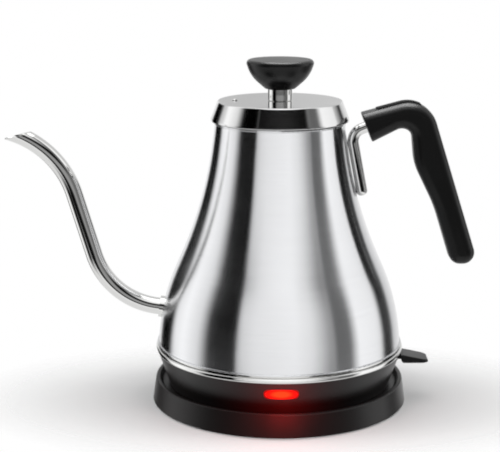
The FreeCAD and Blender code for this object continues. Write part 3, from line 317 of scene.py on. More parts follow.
@dataclass(frozen=True)
class Steel(Finish):
    """Bare metal with brush lines that run round the kettle and faint marks of handling."""

    lines: float = 2600.0
    line_detail: float = 3.0
    line_depth: float = 0.000004
    line_strength: float = 0.12
    roughness_spread: float = 0.06
    anisotropy: float = 0.0
    turn: float = 0.0
    marks: float = 28.0
    smear: float = 0.6
    shade: float = 0.9

    def fill(self, tree: Tree, shader: bpy.types.Node, place: bpy.types.NodeSocket) -> None:
        """Adds brush lines and handling marks."""
        shader.inputs["Metallic"].default_value = 1.0
        shader.inputs["Anisotropic"].default_value = self.anisotropy
        lines = self.mask(tree, Effect.BRUSH_LINES, place, self.lines, self.line_detail)
        marks = self.mask(tree, Effect.HANDLING_MARKS, place, self.marks)
        dull = tuple(channel * self.shade for channel in self.colour)
        tree.feed(shader.inputs["Base Color"], tree.tint(lines, dull, self.colour))
        half = self.roughness_spread / 2
        grain = tree.between(lines, self.roughness - half, self.roughness + half)
        smear = tree.math("MULTIPLY", marks, self.roughness_spread * self.smear)
        tree.feed(shader.inputs["Roughness"], tree.math("ADD", grain, smear))
        self.bump(tree, shader, lines, self.line_depth, self.line_strength)
        if self.anisotropy:
            shader.inputs["Anisotropic Rotation"].default_value = self.turn
            grain_way = tree.add("ShaderNodeTangent", direction_type="RADIAL", axis="Z")
            tree.feed(shader.inputs["Tangent"], grain_way.outputs["Tangent"])


@dataclass(frozen=True)
class Moulding(Finish):
    """Moulded plastic or rubber with a fine even grain and rubbed patches."""

    grain: float = 2600.0
    grain_depth: float = 0.00002
    grain_strength: float = 0.25
    roughness_spread: float = 0.08
    marks: float = 22.0
    mark_detail: float = 3.0
    rubbed: Colour = (0.05, 0.05, 0.05)
    specular: float = 0.5

    def fill(self, tree: Tree, shader: bpy.types.Node, place: bpy.types.NodeSocket) -> None:
        """Adds the grain and the rubbed patches."""
        shader.inputs["Specular IOR Level"].default_value = self.specular
        grain = self.mask(tree, Effect.MOULDED_GRAIN, place, self.grain, 1.0)
        marks = self.mask(tree, Effect.HANDLING_MARKS, place, self.marks, self.mark_detail)
        tree.feed(shader.inputs["Base Color"], tree.tint(marks, self.colour, self.rubbed))
        rubbed = self.roughness - self.roughness_spread
        tree.feed(shader.inputs["Roughness"], tree.between(marks, self.roughness, rubbed))
        self.bump(tree, shader, grain, self.grain_depth, self.grain_strength)


@dataclass(frozen=True)
class LampGlow(Finish):
    """A lit clear red plastic, brightest in front of its lamp."""

    core: Colour = (1.0, 0.016, 0.002)
    middle: Colour = (0.6, 0.001, 0.0)
    rim: Colour = (0.10, 0.0, 0.0)
    core_share: float = 0.38
    middle_share: float = 0.7
    strength: float = 4.0
    specular: float = 0.1
    grain: float = 900.0
    roughness_spread: float = 0.08
    half_length: float = 0.010
    half_height: float = 0.0040
    core_height: float = 0.0255

    def fill(self, tree: Tree, shader: bpy.types.Node, place: bpy.types.NodeSocket) -> None:
        """Adds the glow, which fades from the middle to the rim."""
        middle = (0.0, 0.0, self.core_height)
        reach = (1.0 / self.half_length, 0.0, 1.0 / self.half_height)
        away = tree.vector("SUBTRACT", place, middle).outputs["Vector"]
        shares = tree.vector("MULTIPLY", away, reach).outputs["Vector"]
        share = tree.vector("LENGTH", shares).outputs["Value"]
        stops = [
            (0.0, self.core),
            (self.core_share, self.core),
            (self.middle_share, self.middle),
            (1.0, self.rim),
        ]
        tree.feed(shader.inputs["Emission Color"], tree.ramp(share, stops))
        grain = self.mask(tree, Effect.MOULDED_GRAIN, place, self.grain, 1.0)
        dull = self.roughness + self.roughness_spread
        tree.feed(shader.inputs["Roughness"], tree.between(grain, self.roughness, dull))
        shader.inputs["Emission Strength"].default_value = self.strength
        shader.inputs["Specular IOR Level"].default_value = self.specular


BODY_STEEL = Steel(
    "brushed body steel",
    (0.795, 0.80, 0.815),
    0.20,
    "brushed_steel_body",
    anisotropy=0.95,
    turn=0.25,
)
LID_STEEL = Steel(
    "polished lid steel",
    (0.80, 0.80, 0.80),
    0.11,
    "brushed_steel_body",
    line_strength=0.05,
    roughness_spread=0.03,
)
INNER_STEEL = Steel("plain inner steel", (0.66, 0.66, 0.65), 0.28, "brushed_steel_body", lines=1500.0)
BRIGHT_STEEL = Steel(
    "polished steel",
    (0.84, 0.84, 0.83),
    0.05,
    "polished_steel",
    line_strength=0.0,
    roughness_spread=0.02,
)
BASE_PLASTIC = Moulding(
    "satin base plastic",
    (0.012, 0.010, 0.010),
    0.40,
    "black_plastic",
    rubbed=(0.018, 0.017, 0.017),
    specular=0.3,
)
GRIP_PLASTIC = Moulding(
    "satin grip plastic",
    (0.006, 0.006, 0.006),
    0.36,
    "black_plastic",
    grain_strength=0.1,
    rubbed=(0.009, 0.009, 0.009),
    specular=0.32,
)
STRIP_RUBBER = Moulding(
    "soft strip rubber",
    (0.004, 0.004, 0.004),
    0.6,
    "black_rubber",
    rubbed=(0.006, 0.006, 0.006),
    specular=0.12,
)
KNOB_PLASTIC = Moulding(
    "satin knob plastic",
    (0.006, 0.006, 0.006),
    0.34,
    "knob_plastic",
    grain_strength=0.1,
    rubbed=(0.009, 0.009, 0.009),
    specular=0.32,
)
CONTROL_PLASTIC = Moulding(
    "cream control plastic",
    (0.70, 0.67, 0.60),
    0.5,
    "control_plastic",
    rubbed=(0.62, 0.59, 0.52),
)
BLACK_RUBBER = Moulding(
    "black rubber",
    (0.02, 0.02, 0.02),
    0.75,
    "black_rubber",
    grain=1400.0,
    rubbed=(0.04, 0.04, 0.04),
)
GREY_SILICONE = Moulding(
    "grey silicone",
    (0.40, 0.40, 0.40),
    0.6,
    "grey_silicone",
    rubbed=(0.46, 0.46, 0.46),
)
BOARD_GREEN = Moulding("green board", (0.03, 0.16, 0.05), 0.4, "circuit_board", rubbed=(0.04, 0.19, 0.06))
CONTACT_BRASS = Steel("contact brass", (0.72, 0.52, 0.22), 0.25, "brass", shade=0.85)
PLATE_ALUMINIUM = Steel("rolled aluminium", (0.72, 0.73, 0.74), 0.33, "aluminium", lines=1200.0)
HEATER_SHEATH = Steel("heater sheath", (0.30, 0.28, 0.27), 0.42, "heater_sheath", shade=0.7)
SCREW_STEEL = Steel("screw steel", (0.55, 0.55, 0.54), 0.3, "fastener_steel")
LENS_RED = LampGlow("lit red lens", (0.5, 0.01, 0.005), 0.18, "red_lens")
BULB_RED = LampGlow("lit red lamp", (0.6, 0.03, 0.01), 0.2, "red_bulb")


@dataclass(frozen=True)
class Corner:
    """A corner of a bent tube's centre line: its place, and the radius of the bend there."""

    x: float
    z: float
    bend: float = 0.0


@dataclass(frozen=True)
class BentTube:
    """A round tube whose centre line lies in the upright plane through spout and handle."""

    corners: tuple[Corner, ...]
    radius: float
    sides: int = 72
    steps: int = 40

    def sweep(self) -> bmesh.types.BMesh:
        """Makes the tube, open at both ends: a circle drawn along the runs and spun round the bends.

        Returns:
            The tube's shape.
        """
        spots = [Vector((corner.x, 0.0, corner.z)) for corner in self.corners]
        ways = [(far - near).normalized() for near, far in zip(spots, spots[1:])]
        shape = bmesh.new()
        place = Matrix.Translation(spots[0]) @ ways[0].to_track_quat("Z", "Y").to_matrix().to_4x4()
        bmesh.ops.create_circle(shape, radius=self.radius, segments=self.sides, matrix=place)
        front: list[Any] = list(shape.edges)
        spent = 0.0
        for index, way in enumerate(ways):
            last = index == len(ways) - 1
            turn = 0.0 if last else way.angle(ways[index + 1])
            bend = self.corners[index + 1].bend
            cut = bend * math.tan(turn / 2)
            run = (spots[index + 1] - spots[index]).length - spent - cut
            made = bmesh.ops.extrude_edge_only(shape, edges=front)["geom"]
            ring = [item for item in made if isinstance(item, bmesh.types.BMVert)]
            bmesh.ops.translate(shape, verts=ring, vec=way * run)
            front = self.edges_among(ring, made)
            if not last:
                axis = way.cross(ways[index + 1]).normalized()
                centre = spots[index + 1] - way * cut + axis.cross(way) * bend
                made = bmesh.ops.spin(
                    shape, geom=front, cent=centre, axis=axis, angle=turn, steps=self.steps
                )["geom_last"]
                ring = [item for item in made if isinstance(item, bmesh.types.BMVert)]
                front = self.edges_among(ring, made)
            spent = cut
        bmesh.ops.remove_doubles(shape, verts=shape.verts, dist=WELD)
        bmesh.ops.recalc_face_normals(shape, faces=shape.faces)
        return shape

    @staticmethod
    def edges_among(ring: list[bmesh.types.BMVert], made: list[Any]) -> list[bmesh.types.BMEdge]:
        """Picks the edges whose two ends both lie on a ring.

        Args:
            ring: the ring's vertices.
            made: what an operator made.

        Returns:
            The ring's edges.
        """
        edges = [item for item in made if isinstance(item, bmesh.types.BMEdge)]
        return [edge for edge in edges if all(vert in ring for vert in edge.verts)]

    @staticmethod
    def trim(shape: bmesh.types.BMesh, spot: Point, way: Point) -> None:
        """Cuts off what lies beyond a plane.

        Args:
            shape: the tube's shape.
            spot: a point of the plane.
            way: the plane's normal, towards what goes.
        """
        whole = list(shape.verts) + list(shape.edges) + list(shape.faces)
        bmesh.ops.bisect_plane(shape, geom=whole, plane_co=spot, plane_no=way, clear_outer=True)


def light_only(lamp: bpy.types.Object, lit: list[bpy.types.Object]) -> None:
    """Lets a lamp light some objects only.

    Args:
        lamp: the lamp.
        lit: the objects.
    """
    receivers = bpy.data.collections.new(f"{lamp.name} receivers")
    for thing in lit:
        receivers.objects.link(thing)
    lamp.light_linking.receiver_collection = receivers


def turn_round(shape: bmesh.types.BMesh, steps: int) -> None:
    """Turns an open or closed line all the way round the upright axis.

    Args:
        shape: the shape, which holds the line alone.
        steps: how many steps make the round.
    """
    bmesh.ops.spin(
        shape,
        geom=list(shape.verts) + list(shape.edges),
        cent=(0.0, 0.0, 0.0),
        axis=(0.0, 0.0, 1.0),
        angle=math.tau,
        steps=steps,
        use_merge=True,
    )


def round_off(shape: bmesh.types.BMesh, corners: list[Any], size: float, steps: int, kind: str) -> None:
    """Rounds some edges or corners of a shape.

    Args:
        shape: the shape.
        corners: what is rounded.
        size: how far the rounding reaches.
        steps: how many steps make it.
        kind: EDGES, or VERTICES for the corners of a flat outline.
    """
    bmesh.ops.bevel(
        shape, geom=corners, offset=size, affect=kind, segments=steps, profile=0.5, material=-1
    )


@dataclass
class SubAssembly:
    """A group of solids that get their finishes together, with the pieces made for them."""

    body: Body
    finishes: dict[str, Finish] = field(default_factory=dict)

    def dress(self, nodes: dict[str, bpy.types.Object]) -> None:
        """Gives each solid its finish.

        Args:
            nodes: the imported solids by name.
        """
        for name, finish in self.finishes.items():
            solid = nodes[name]
            solid.data.materials.clear()
            solid.data.materials.append(finish.material())
            LOG.info("%s: %s", name, finish.name)

    def build(self) -> None:
        """Makes the pieces that the solids leave out."""

    def keep(self, name: str, shape: bmesh.types.BMesh, finish: Finish) -> bpy.types.Object:
        """Makes a piece of a finished shape, which rides on this sub-assembly's body.

        Args:
            name: the piece's name.
            shape: its shape, which is used up.
            finish: its finish.

        Returns:
            The piece.
        """
        bmesh.ops.remove_doubles(shape, verts=shape.verts, dist=WELD)
        bmesh.ops.recalc_face_normals(shape, faces=shape.faces)
        for face in shape.faces:
            face.smooth = True
        mesh = bpy.data.meshes.new(name)
        shape.to_mesh(mesh)
        shape.free()
        mesh.set_sharp_from_angle(angle=math.radians(SHARP_ANGLE))
        piece = bpy.data.objects.new(name, mesh)
        bpy.context.scene.collection.objects.link(piece)
        mesh.materials.append(finish.material())
        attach(piece, self.body.value)
        LOG.info("%s: made, %s", name, finish.name)
        return piece


@dataclass
class PowerBase(SubAssembly):
    """The round base that the kettle stands on."""

    body: Body = Body.BASE
    finishes: dict[str, Finish] = field(
        default_factory=lambda: {
            "base_housing": BASE_PLASTIC,
            "base_cover": BASE_PLASTIC,
            "base_pads": BLACK_RUBBER,
            "base_screws": SCREW_STEEL,
            "base_connector": BASE_PLASTIC,
            "base_contacts": CONTACT_BRASS,
            "cord_gland": BLACK_RUBBER,
        }
    )


@dataclass
class Coupler(SubAssembly):
    """The round socket under the kettle."""

    body: Body = Body.COUPLER
    finishes: dict[str, Finish] = field(
        default_factory=lambda: {
            "socket_housing": BASE_PLASTIC,
            "socket_pin": CONTACT_BRASS,
            "socket_rings": CONTACT_BRASS,
        }
    )


@dataclass
class SteelWork(SubAssembly):
    """The steel vessel with its spout, heater and handle rod."""

    body: Body = Body.KETTLE
    finishes: dict[str, Finish] = field(
        default_factory=lambda: {
            "body_shell": BODY_STEEL,
            "spout": BRIGHT_STEEL,
            "spout_collar": BRIGHT_STEEL,
            "trim_ring": BRIGHT_STEEL,
            "boiler_plate": INNER_STEEL,
            "heat_spreader": PLATE_ALUMINIUM,
            "heating_element": HEATER_SHEATH,
            "plate_studs": SCREW_STEEL,
            "steam_tube": INNER_STEEL,
            "steam_grommet": GREY_SILICONE,
            "handle_rod": BRIGHT_STEEL,
        }
    )
    spout: BentTube = BentTube(
        (
            Corner(-0.0601, 0.0558),
            Corner(-0.1047, 0.0621, 0.0457),
            Corner(-0.1322, 0.1550, 0.0560),
            Corner(-0.1646, 0.1668),
        ),
        0.0051,
    )
    spout_wall: float = 0.0007
    spout_root: Point = (-0.07104, 0.0, 0.0574)
    spout_root_lean: float = 11.6
    spout_lip: Point = (-0.1653, 0.0, 0.1615)
    spout_mouth_slope: float = 15.3
    rod: BentTube = BentTube(
        (Corner(0.050145, 0.127174), Corner(0.04275, 0.1654, 0.008), Corner(0.076245, 0.178594)), 0.0034
    )
    rod_nose: float = 0.0029
    ring_outline: tuple[tuple[float, float], ...] = (
        (0.0712, 0.0325),
        (0.0758, 0.0325),
        (0.0758, 0.0354),
        (0.0727, 0.0354),
        (0.0727, 0.0359),
        (0.0742, 0.0359),
        (0.0742, 0.0366),
        (0.0712, 0.0366),
    )
    ring_lip_round: float = 0.0011
    ring_steps: int = 240

    def build(self) -> None:
        """Makes the bright bent tubes and the turned ring, smooth enough to mirror clean lines."""
        self.make_spout()
        self.make_rod()
        self.make_trim_ring()

    def make_spout(self) -> None:
        """Makes the gooseneck, cut to fit the body at its root and to a pouring lip at its tip."""
        shape = self.spout.sweep()
        lean = math.radians(self.spout_root_lean)
        BentTube.trim(shape, self.spout_root, (math.cos(lean), 0.0, -math.sin(lean)))
        slope = math.radians(self.spout_mouth_slope)
        BentTube.trim(shape, self.spout_lip, (-math.sin(slope), 0.0, math.cos(slope)))
        bmesh.ops.solidify(shape, geom=list(shape.faces), thickness=self.spout_wall)
        piece = self.keep("spout_tube", shape, BRIGHT_STEEL)
        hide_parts("spout")

    def make_rod(self) -> None:
        """Makes the handle's bent rod with its rounded lower end."""
        shape = self.rod.sweep()
        ends = [edge for edge in shape.edges if edge.is_boundary]
        bmesh.ops.edgeloop_fill(shape, edges=ends)
        low = min(vert.co.z for vert in shape.verts) + self.rod.radius
        rim = [edge for edge in ends if max(vert.co.z for vert in edge.verts) < low]
        round_off(shape, rim, self.rod_nose, ROUND_STEPS, "EDGES")
        piece = self.keep("rod_bar", shape, BRIGHT_STEEL)
        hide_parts("handle_rod")

    def make_trim_ring(self) -> None:
        """Makes the ring above the foot: its section, rounded at the lip, turned about the axis."""
        shape = bmesh.new()
        section = shape.faces.new([shape.verts.new((radius, 0.0, z)) for radius, z in self.ring_outline])
        lip = [vert for vert in section.verts if vert.co.x > self.ring_outline[1][0] - WELD]
        round_off(shape, lip, self.ring_lip_round, ROUND_STEPS, "VERTICES")
        bmesh.ops.delete(shape, geom=list(shape.faces), context="FACES_ONLY")
        turn_round(shape, self.ring_steps)
        piece = self.keep("foot_ring", shape, BRIGHT_STEEL)
        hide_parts("trim_ring")


@dataclass(frozen=True)
class Glow:
    """A red light: its place, its radius and its power in watts."""

    name: str
    spot: Point
    radius: float
    power: float


@dataclass
class PlasticWork(SubAssembly):
    """The plastic foot with its lamp and control, and the grip."""

    body: Body = Body.KETTLE
    finishes: dict[str, Finish] = field(
        default_factory=lambda: {
            "foot_collar": BASE_PLASTIC,
            "foot_cover": BASE_PLASTIC,
            "foot_screws": SCREW_STEEL,
            "lamp_lens": LENS_RED,
            "lamp_bulb": BULB_RED,
            "lamp_board": BOARD_GREEN,
            "control_housing": CONTROL_PLASTIC,
            "bimetal_disc": SCREW_STEEL,
            "lever_pin": SCREW_STEEL,
            "handle_grip": GRIP_PLASTIC,
            "handle_screw": SCREW_STEEL,
        }
    )
    strip_start: Point = (0.0574, 0.0, 0.1799)
    strip_slope: float = 15.0
    strip_run: float = 0.0147
    strip_bend: float = 0.018
    strip_turn: float = 40.0
    strip_half_width: float = 0.0045
    strip_proud: float = 0.0005
    strip_sunk: float = 0.0003
    strip_round: float = 0.0004
    strip_round_steps: int = 3
    strip_bend_steps: int = 12
    strip_crease: float = 1.0
    near_glow: Glow = Glow("lamp glow", (0.0, -0.090, 0.022), 0.003, 0.10)
    far_glow: Glow = Glow("lamp haze", (0.0, -0.125, 0.034), 0.030, 0.06)
    near: list[bpy.types.Object] = field(default_factory=list)
    far: list[bpy.types.Object] = field(default_factory=list)

    def build(self) -> None:
        """Makes the thumb strip and the lamp's light, close by and further off."""
        self.make_thumb_strip()
        self.make_glow(self.near_glow, self.near)
        self.make_glow(self.far_glow, self.far)

    def make_thumb_strip(self) -> None:
        """Makes the raised strip on the grip's top: a flat bar, straight and then bent over the crown."""
        shape = bmesh.new()
        across, low, high = self.strip_half_width, -self.strip_sunk, self.strip_proud
        corners = [(0.0, -across, low), (0.0, across, low), (0.0, across, high), (0.0, -across, high)]
        end = shape.faces.new([shape.verts.new(corner) for corner in corners])
        run = bmesh.ops.extrude_face_region(shape, geom=[end])["geom"]
        ahead = [item for item in run if isinstance(item, bmesh.types.BMVert)]
        bmesh.ops.translate(shape, verts=ahead, vec=(self.strip_run, 0.0, 0.0))
        far = [item for item in run if isinstance(item, bmesh.types.BMFace)]
        bmesh.ops.spin(
            shape,
            geom=far,
            cent=(self.strip_run, 0.0, -self.strip_bend),
            axis=(0.0, 1.0, 0.0),
            angle=math.radians(self.strip_turn),
            steps=self.strip_bend_steps,
        )
        bmesh.ops.remove_doubles(shape, verts=shape.verts, dist=WELD)
        inner = [face for face in shape.faces if self.is_inner(face)]
        bmesh.ops.delete(shape, geom=inner, context="FACES_ONLY")
        bmesh.ops.recalc_face_normals(shape, faces=shape.faces)
        solid = [edge for edge in shape.edges if edge.is_manifold]
        sharp = [edge for edge in solid if edge.calc_face_angle() > self.strip_crease]
        round_off(shape, sharp, self.strip_round, self.strip_round_steps, "EDGES")
        slope = Matrix.Rotation(-math.radians(self.strip_slope), 4, "Y")
        lift = Matrix.Translation(self.strip_start) @ slope
        bmesh.ops.transform(shape, matrix=lift, verts=shape.verts)
        self.keep("thumb_strip", shape, STRIP_RUBBER)

    @staticmethod
    def is_inner(face: bmesh.types.BMFace) -> bool:
        """Tells whether a face lies inside the bar, shared by two of its lengths.

        Args:
            face: a face of the bar.

        Returns:
            Whether it lies inside.
        """
        return all(len(edge.link_faces) > 2 for edge in face.edges)

    def make_glow(self, glow: Glow, lit: list[bpy.types.Object]) -> None:
        """Makes one of the red lights that stand for what the lit lens throws about.

        Args:
            glow: the light.
            lit: what it falls on.
        """
        data = bpy.data.lights.new(glow.name, "POINT")
        data.shadow_soft_size = glow.radius
        data.color = LAMP_RED
        data.energy = glow.power
        lamp = bpy.data.objects.new(glow.name, data)
        lamp.location = glow.spot
        lamp.visible_camera = False
        lamp.visible_glossy = False
        bpy.context.scene.collection.objects.link(lamp)
        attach(lamp, self.body.value)
        light_only(lamp, lit)


@dataclass
class Lid(SubAssembly):
    """The lift-off lid with its knob."""

    body: Body = Body.LID
    finishes: dict[str, Finish] = field(
        default_factory=lambda: {
            "lid_shell": LID_STEEL,
            "lid_skirt": INNER_STEEL,
            "knob_stem": BRIGHT_STEEL,
            "lid_knob": KNOB_PLASTIC,
            "knob_screw": SCREW_STEEL,
        }
    )
    eyelet_spot: Point = (-0.0272, 0.0, 0.1850)
    eyelet_radius: float = 0.0013
    eyelet_tube: float = 0.0007
    eyelet_sides: int = 20
    eyelet_steps: int = 32

    def build(self) -> None:
        """Makes the eyelet of the vent: a small circle turned into a ring."""
        shape = bmesh.new()
        turned = Matrix.Translation((self.eyelet_radius, 0.0, 0.0)) @ Matrix.Rotation(math.pi / 2, 4, "X")
        bmesh.ops.create_circle(shape, radius=self.eyelet_tube, segments=self.eyelet_sides, matrix=turned)
        turn_round(shape, self.eyelet_steps)
        bmesh.ops.translate(shape, verts=shape.verts, vec=self.eyelet_spot)
        self.keep("vent_eyelet", shape, BRIGHT_STEEL)


@dataclass
class Switch(SubAssembly):
    """The rocking lever at the foot."""

    body: Body = Body.SWITCH
    finishes: dict[str, Finish] = field(default_factory=lambda: {"switch_lever": GRIP_PLASTIC})


@dataclass(frozen=True)
class Band:
    """One edge of a light or dark panel: an angle in degrees and the brightness there."""

    at: float
    level: float


@dataclass(frozen=True)
class Softbox:
    """A soft lamp that faces the kettle: its place, power in watts and width.

    A lamp that is mirrored shows in reflections, and is hidden from the camera instead.
    """

    name: str
    place: Point
    power: float
    width: float
    mirrored: bool = False


@dataclass
class Studio:
    """The floor, the ring of panels that the metal mirrors, and the lamps."""

    crowned: list[bpy.types.Object]
    aim: Point = (0.0, 0.0, 0.1)
    sides: tuple[Softbox, ...] = (
        Softbox("left softbox", (-1.1, 0.12, 0.8), 10.5, 0.8),
        Softbox("right softbox", (1.1, 0.12, 0.8), 10.5, 0.8),
    )
    top: Softbox = Softbox("top softbox", (0.0, 0.1, 1.6), 5.0, 1.2, True)
    crown: Softbox = Softbox("crown softbox", (0.05, 0.2, 1.2), 22.0, 0.9, True)
    floor_radius: float = 0.20
    floor_sides: int = 96
    floor_roughness: float = 0.7
    fade_start: float = 0.085
    fade_depth: float = 1.7
    floor_level: float = 0.90
    fill_level: float = 0.12
    front_distance: float = 8.0
    front_lift: float = 0.1
    front_columns: tuple[Band, ...] = (
        Band(-42.0, 0.3),
        Band(-39.0, 0.85),
        Band(-24.0, 1.0),
        Band(14.0, 1.12),
        Band(30.0, 1.0),
        Band(53.0, 0.14),
    )
    front_rows: tuple[Band, ...] = (
        Band(-21.0, 0.8),
        Band(-14.0, 0.9),
        Band(-9.0, 1.0),
        Band(-5.0, 0.68),
        Band(15.0, 0.68),
        Band(18.0, 1.0),
        Band(36.0, 1.0),
        Band(46.0, 0.0),
    )
    panel_level: float = 1.25
    low_level: float = 0.85
    bands: tuple[Band, ...] = (
        Band(-180.0, 0.45),
        Band(-165.0, 0.75),
        Band(-157.0, 0.75),
        Band(-150.0, 0.0),
        Band(-127.0, 0.0),
        Band(-119.0, 0.85),
        Band(-104.0, 1.0),
        Band(-84.0, 0.72),
        Band(-72.0, 0.0),
        Band(-43.0, 0.0),
        Band(-36.0, 0.66),
        Band(-24.0, 0.84),
        Band(14.0, 0.96),
        Band(30.0, 0.80),
        Band(56.0, 0.12),
        Band(70.0, 0.12),
        Band(80.0, 0.95),
        Band(110.0, 0.85),
        Band(117.0, 0.02),
        Band(132.0, 0.02),
        Band(140.0, 0.60),
        Band(165.0, 0.75),
        Band(180.0, 0.45),
    )
    dark_front: tuple[Band, ...] = (
        Band(-43.0, 0.0),
        Band(-40.0, 0.995),
        Band(48.0, 0.995),
        Band(54.0, 0.0),
    )
    dark_heights: tuple[Band, ...] = (
        Band(-24.0, 0.0),
        Band(-19.0, 1.0),
        Band(-9.0, 1.0),
        Band(-5.0, 0.7),
        Band(15.0, 0.7),
        Band(18.0, 1.0),
        Band(36.0, 1.0),
        Band(46.0, 0.0),
    )
    back_sides: tuple[Band, ...] = (
        Band(-118.0, 1.0),
        Band(-110.0, 0.0),
        Band(110.0, 0.0),
        Band(117.0, 1.0),
    )
    back_heights: tuple[Band, ...] = (Band(10.0, 0.0), Band(15.0, 1.0))
    back_level: float = 0.55
    low: tuple[Band, ...] = (Band(-36.0, 1.0), Band(-26.0, 0.0))

    def build(self) -> bpy.types.Object:
        """Makes the floor, the world and the lamps.

        Returns:
            The floor.
        """
        floor = self.make_floor()
        self.make_world()
        for box in (*self.sides, self.top):
            self.make_lamp(box)
        light_only(self.make_lamp(self.crown), self.crowned)
        return floor

    def make_floor(self) -> bpy.types.Object:
        """Makes the pale floor, which fades into the white surroundings away from the kettle.

        Returns:
            The floor.
        """
        mesh = bpy.data.meshes.new("floor")
        disc = bmesh.new()
        bmesh.ops.create_circle(disc, cap_ends=True, radius=self.floor_radius, segments=self.floor_sides)
        disc.to_mesh(mesh)
        disc.free()
        floor = bpy.data.objects.new("floor", mesh)
        floor.visible_glossy = False
        bpy.context.scene.collection.objects.link(floor)
        material = Finish("pale floor", (self.floor_level,) * 3, self.floor_roughness).material()
        tree = Tree(material.node_tree, keep=True)
        place = tree.add("ShaderNodeTexCoord").outputs["Object"]
        oval = tree.vector("MULTIPLY", place, (1.0, self.fade_depth, 1.0)).outputs["Vector"]
        reach = tree.vector("LENGTH", oval).outputs["Value"]
        share = tree.between(reach, 0.0, 1.0, self.fade_start, self.floor_radius)
        clear = tree.add("ShaderNodeBsdfTransparent")
        output = next(node for node in material.node_tree.nodes if node.type == "OUTPUT_MATERIAL")
        solid = output.inputs["Surface"].links[0].from_node
        mix = self.choose(tree, share, solid, clear)
        tree.feed(output.inputs["Surface"], mix.outputs["Shader"])
        mesh.materials.append(material)
        return floor

    def make_world(self) -> None:
        """Makes the white surroundings with the panels that the metal mirrors."""
        world = bpy.data.worlds.new("studio")
        world.use_nodes = True
        bpy.context.scene.world = world
        tree = Tree(world.node_tree)
        ray = tree.add("ShaderNodeLightPath")
        panels = tree.add("ShaderNodeBackground", {"Color": self.mirrored(tree), "Strength": 1.0})
        white = tree.add("ShaderNodeBackground", {"Color": WHITE, "Strength": 1.0})
        fill = tree.add("ShaderNodeBackground", {"Color": WHITE, "Strength": self.fill_level})
        seen = tree.math("ADD", ray.outputs["Is Camera Ray"], ray.outputs["Is Transmission Ray"])
        first = self.choose(tree, ray.outputs["Is Glossy Ray"], fill, panels)
        second = self.choose(tree, seen, first, white)
        tree.add("ShaderNodeOutputWorld", {"Surface": second.outputs["Shader"]})

    def mirrored(self, tree: Tree) -> bpy.types.NodeSocket:
        """Lays out the surroundings that the metal mirrors.

        Args:
            tree: the world's nodes.

        Returns:
            The socket that gives their brightness in each direction.
        """
        place = tree.add("ShaderNodeTexCoord").outputs["Generated"]
        axes = tree.add("ShaderNodeSeparateXYZ", {"Vector": place})
        front = tree.math("MULTIPLY", axes.outputs["Y"], -1.0)
        turn = tree.math("DIVIDE", tree.math("ARCTAN2", axes.outputs["X"], front), math.tau)
        around = tree.math("ADD", turn, 0.5)
        rise = tree.math("ADD", tree.math("DIVIDE", tree.math("ARCSINE", axes.outputs["Z"]), math.pi), 0.5)
        panels = self.profile(tree, around, self.bands, 360.0)
        behind = self.profile(tree, around, self.back_sides, 360.0)
        high = self.profile(tree, rise, self.back_heights, 180.0)
        panels = tree.between(tree.math("MULTIPLY", behind, high), panels, self.back_level)
        before = self.profile(tree, around, self.dark_front, 360.0)
        height = self.profile(tree, rise, self.dark_heights, 180.0)
        shade = tree.math("SUBTRACT", 1.0, tree.math("MULTIPLY", before, height))
        level = tree.math("MULTIPLY", tree.math("MULTIPLY", panels, shade), self.panel_level)
        below = self.profile(tree, rise, self.low, 180.0)
        return tree.between(below, level, self.low_level)

    @staticmethod
    def profile(tree: Tree, share: Any, bands: tuple[Band, ...], span: float) -> bpy.types.NodeSocket:
        """Lays brightnesses out over a range of angles that has 0 degrees in its middle.

        Args:
            tree: the world's nodes.
            share: the socket that gives the place in the range, from 0 to 1.
            bands: the brightnesses at their angles.
            span: the range in degrees.

        Returns:
            The socket that gives the brightness.
        """
        return tree.ramp(share, [(band.at / span + 0.5, (band.level,) * 3) for band in bands])

    @staticmethod
    def choose(tree: Tree, share: Any, first: bpy.types.Node, second: bpy.types.Node) -> bpy.types.Node:
        """Mixes two shaders.

        Args:
            tree: the nodes that hold them.
            share: 0 for the first and 1 for the second.
            first: a surface or a background.
            second: a surface or a background.

        Returns:
            The mix.
        """
        return tree.add("ShaderNodeMixShader", {0: share, 1: first.outputs[0], 2: second.outputs[0]})

    def make_front_panel(self, mirrors: list[bpy.types.Object]) -> None:
        """Hangs the bright panel in front, fading towards its sides.

        Args:
            mirrors: the only objects that mirror it.
        """
        left, right = self.on_panel(self.front_columns[0].at), self.on_panel(self.front_columns[-1].at)
        low, high = self.on_panel(self.front_rows[0].at), self.on_panel(self.front_rows[-1].at)
        wide, tall = right - left, high - low
        place = ((left + right) / 2, -self.front_distance, (low + high) / 2 + self.front_lift)
        lamp = self.make_lamp(Softbox("front panel", place, math.pi * wide * tall, wide, True))
        lamp.rotation_euler = Euler((math.radians(90.0), 0.0, 0.0))
        lamp.data.shape = "RECTANGLE"
        lamp.data.size_y = tall
        light_only(lamp, mirrors)
        lamp.data.use_nodes = True
        tree = Tree(lamp.data.node_tree)
        spot = tree.add("ShaderNodeNewGeometry").outputs["Parametric"]
        axes = tree.add("ShaderNodeSeparateXYZ", {"Vector": spot})
        columns = [
            ((self.on_panel(band.at) - left) / wide, (band.level,) * 3) for band in self.front_columns
        ]
        rows = [((self.on_panel(band.at) - low) / tall, (band.level,) * 3) for band in self.front_rows]
        across = tree.ramp(axes.outputs["X"], columns)
        level = tree.math("MULTIPLY", across, tree.ramp(axes.outputs["Y"], rows))
        glow = tree.add("ShaderNodeEmission", {"Strength": level})
        tree.add("ShaderNodeOutputLight", {"Surface": glow.outputs["Emission"]})

    def on_panel(self, angle: float) -> float:
        """Finds where an angle is met on the front panel.

        Args:
            angle: the angle in degrees.

        Returns:
            The distance from the panel's middle.
        """
        return self.front_distance * math.tan(math.radians(angle))

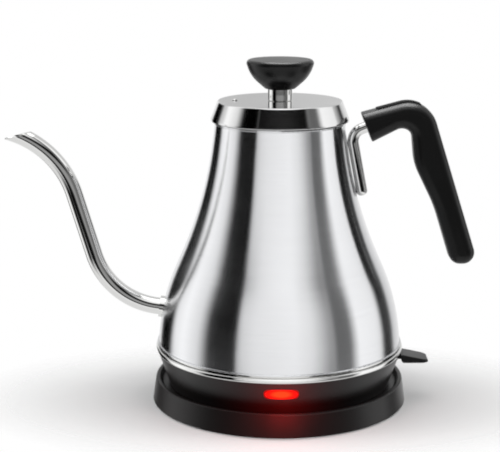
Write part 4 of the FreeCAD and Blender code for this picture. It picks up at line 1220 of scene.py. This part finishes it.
    def make_lamp(self, box: Softbox) -> bpy.types.Object:
        """Hangs one soft lamp.

        Args:
            box: the lamp.

        Returns:
            The lamp's object.
        """
        data = bpy.data.lights.new(box.name, "AREA")
        data.energy = box.power
        data.size = box.width
        lamp = bpy.data.objects.new(box.name, data)
        lamp.location = box.place
        lamp.rotation_euler = (Vector(self.aim) - Vector(box.place)).to_track_quat("-Z", "Y").to_euler()
        lamp.visible_glossy = box.mirrored
        lamp.visible_camera = not box.mirrored
        bpy.context.scene.collection.objects.link(lamp)
        return lamp


@dataclass
class Viewpoint:
    """The camera where the photograph was taken from."""

    distance: float = 0.848
    height: float = 0.296
    pitch: float = 12.49
    focal_pixels: float = 1428.0
    picture_width: float = 500.0
    axis_pixel: float = 279.5
    sensor: float = 36.0

    def build(self) -> None:
        """Makes the camera."""
        data = bpy.data.cameras.new("camera")
        data.sensor_width = self.sensor
        data.lens = self.focal_pixels / self.picture_width * self.sensor
        aside = (self.axis_pixel - self.picture_width / 2) / self.focal_pixels
        reach = self.distance / math.cos(math.radians(self.pitch))
        camera = bpy.data.objects.new("camera", data)
        camera.location = (-aside * reach, -self.distance, self.height)
        camera.rotation_euler = Euler((math.radians(90.0 - self.pitch), 0.0, 0.0))
        bpy.context.scene.collection.objects.link(camera)
        bpy.context.scene.camera = camera


def main() -> None:
    """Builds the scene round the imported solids."""
    logging.basicConfig(level=logging.INFO, format="%(name)s: %(message)s")
    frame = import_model()
    bpy.context.scene.view_settings.view_transform = "Standard"
    bpy.context.scene.cycles.filter_width = FILTER_WIDTH
    Viewpoint().build()
    nodes = frame["nodes"]
    studio = Studio([nodes["handle_grip"], nodes["lid_knob"]])
    floor = studio.build()
    plastic = PlasticWork(near=[nodes["foot_collar"], nodes["base_housing"]], far=[floor])
    for part in (PowerBase(), Coupler(), SteelWork(), plastic, Lid(), Switch()):
        part.dress(nodes)
        part.build()
    studio.make_front_panel([nodes["body_shell"], bpy.data.objects["foot_ring"]])


if __name__ == "__main__":
    main()
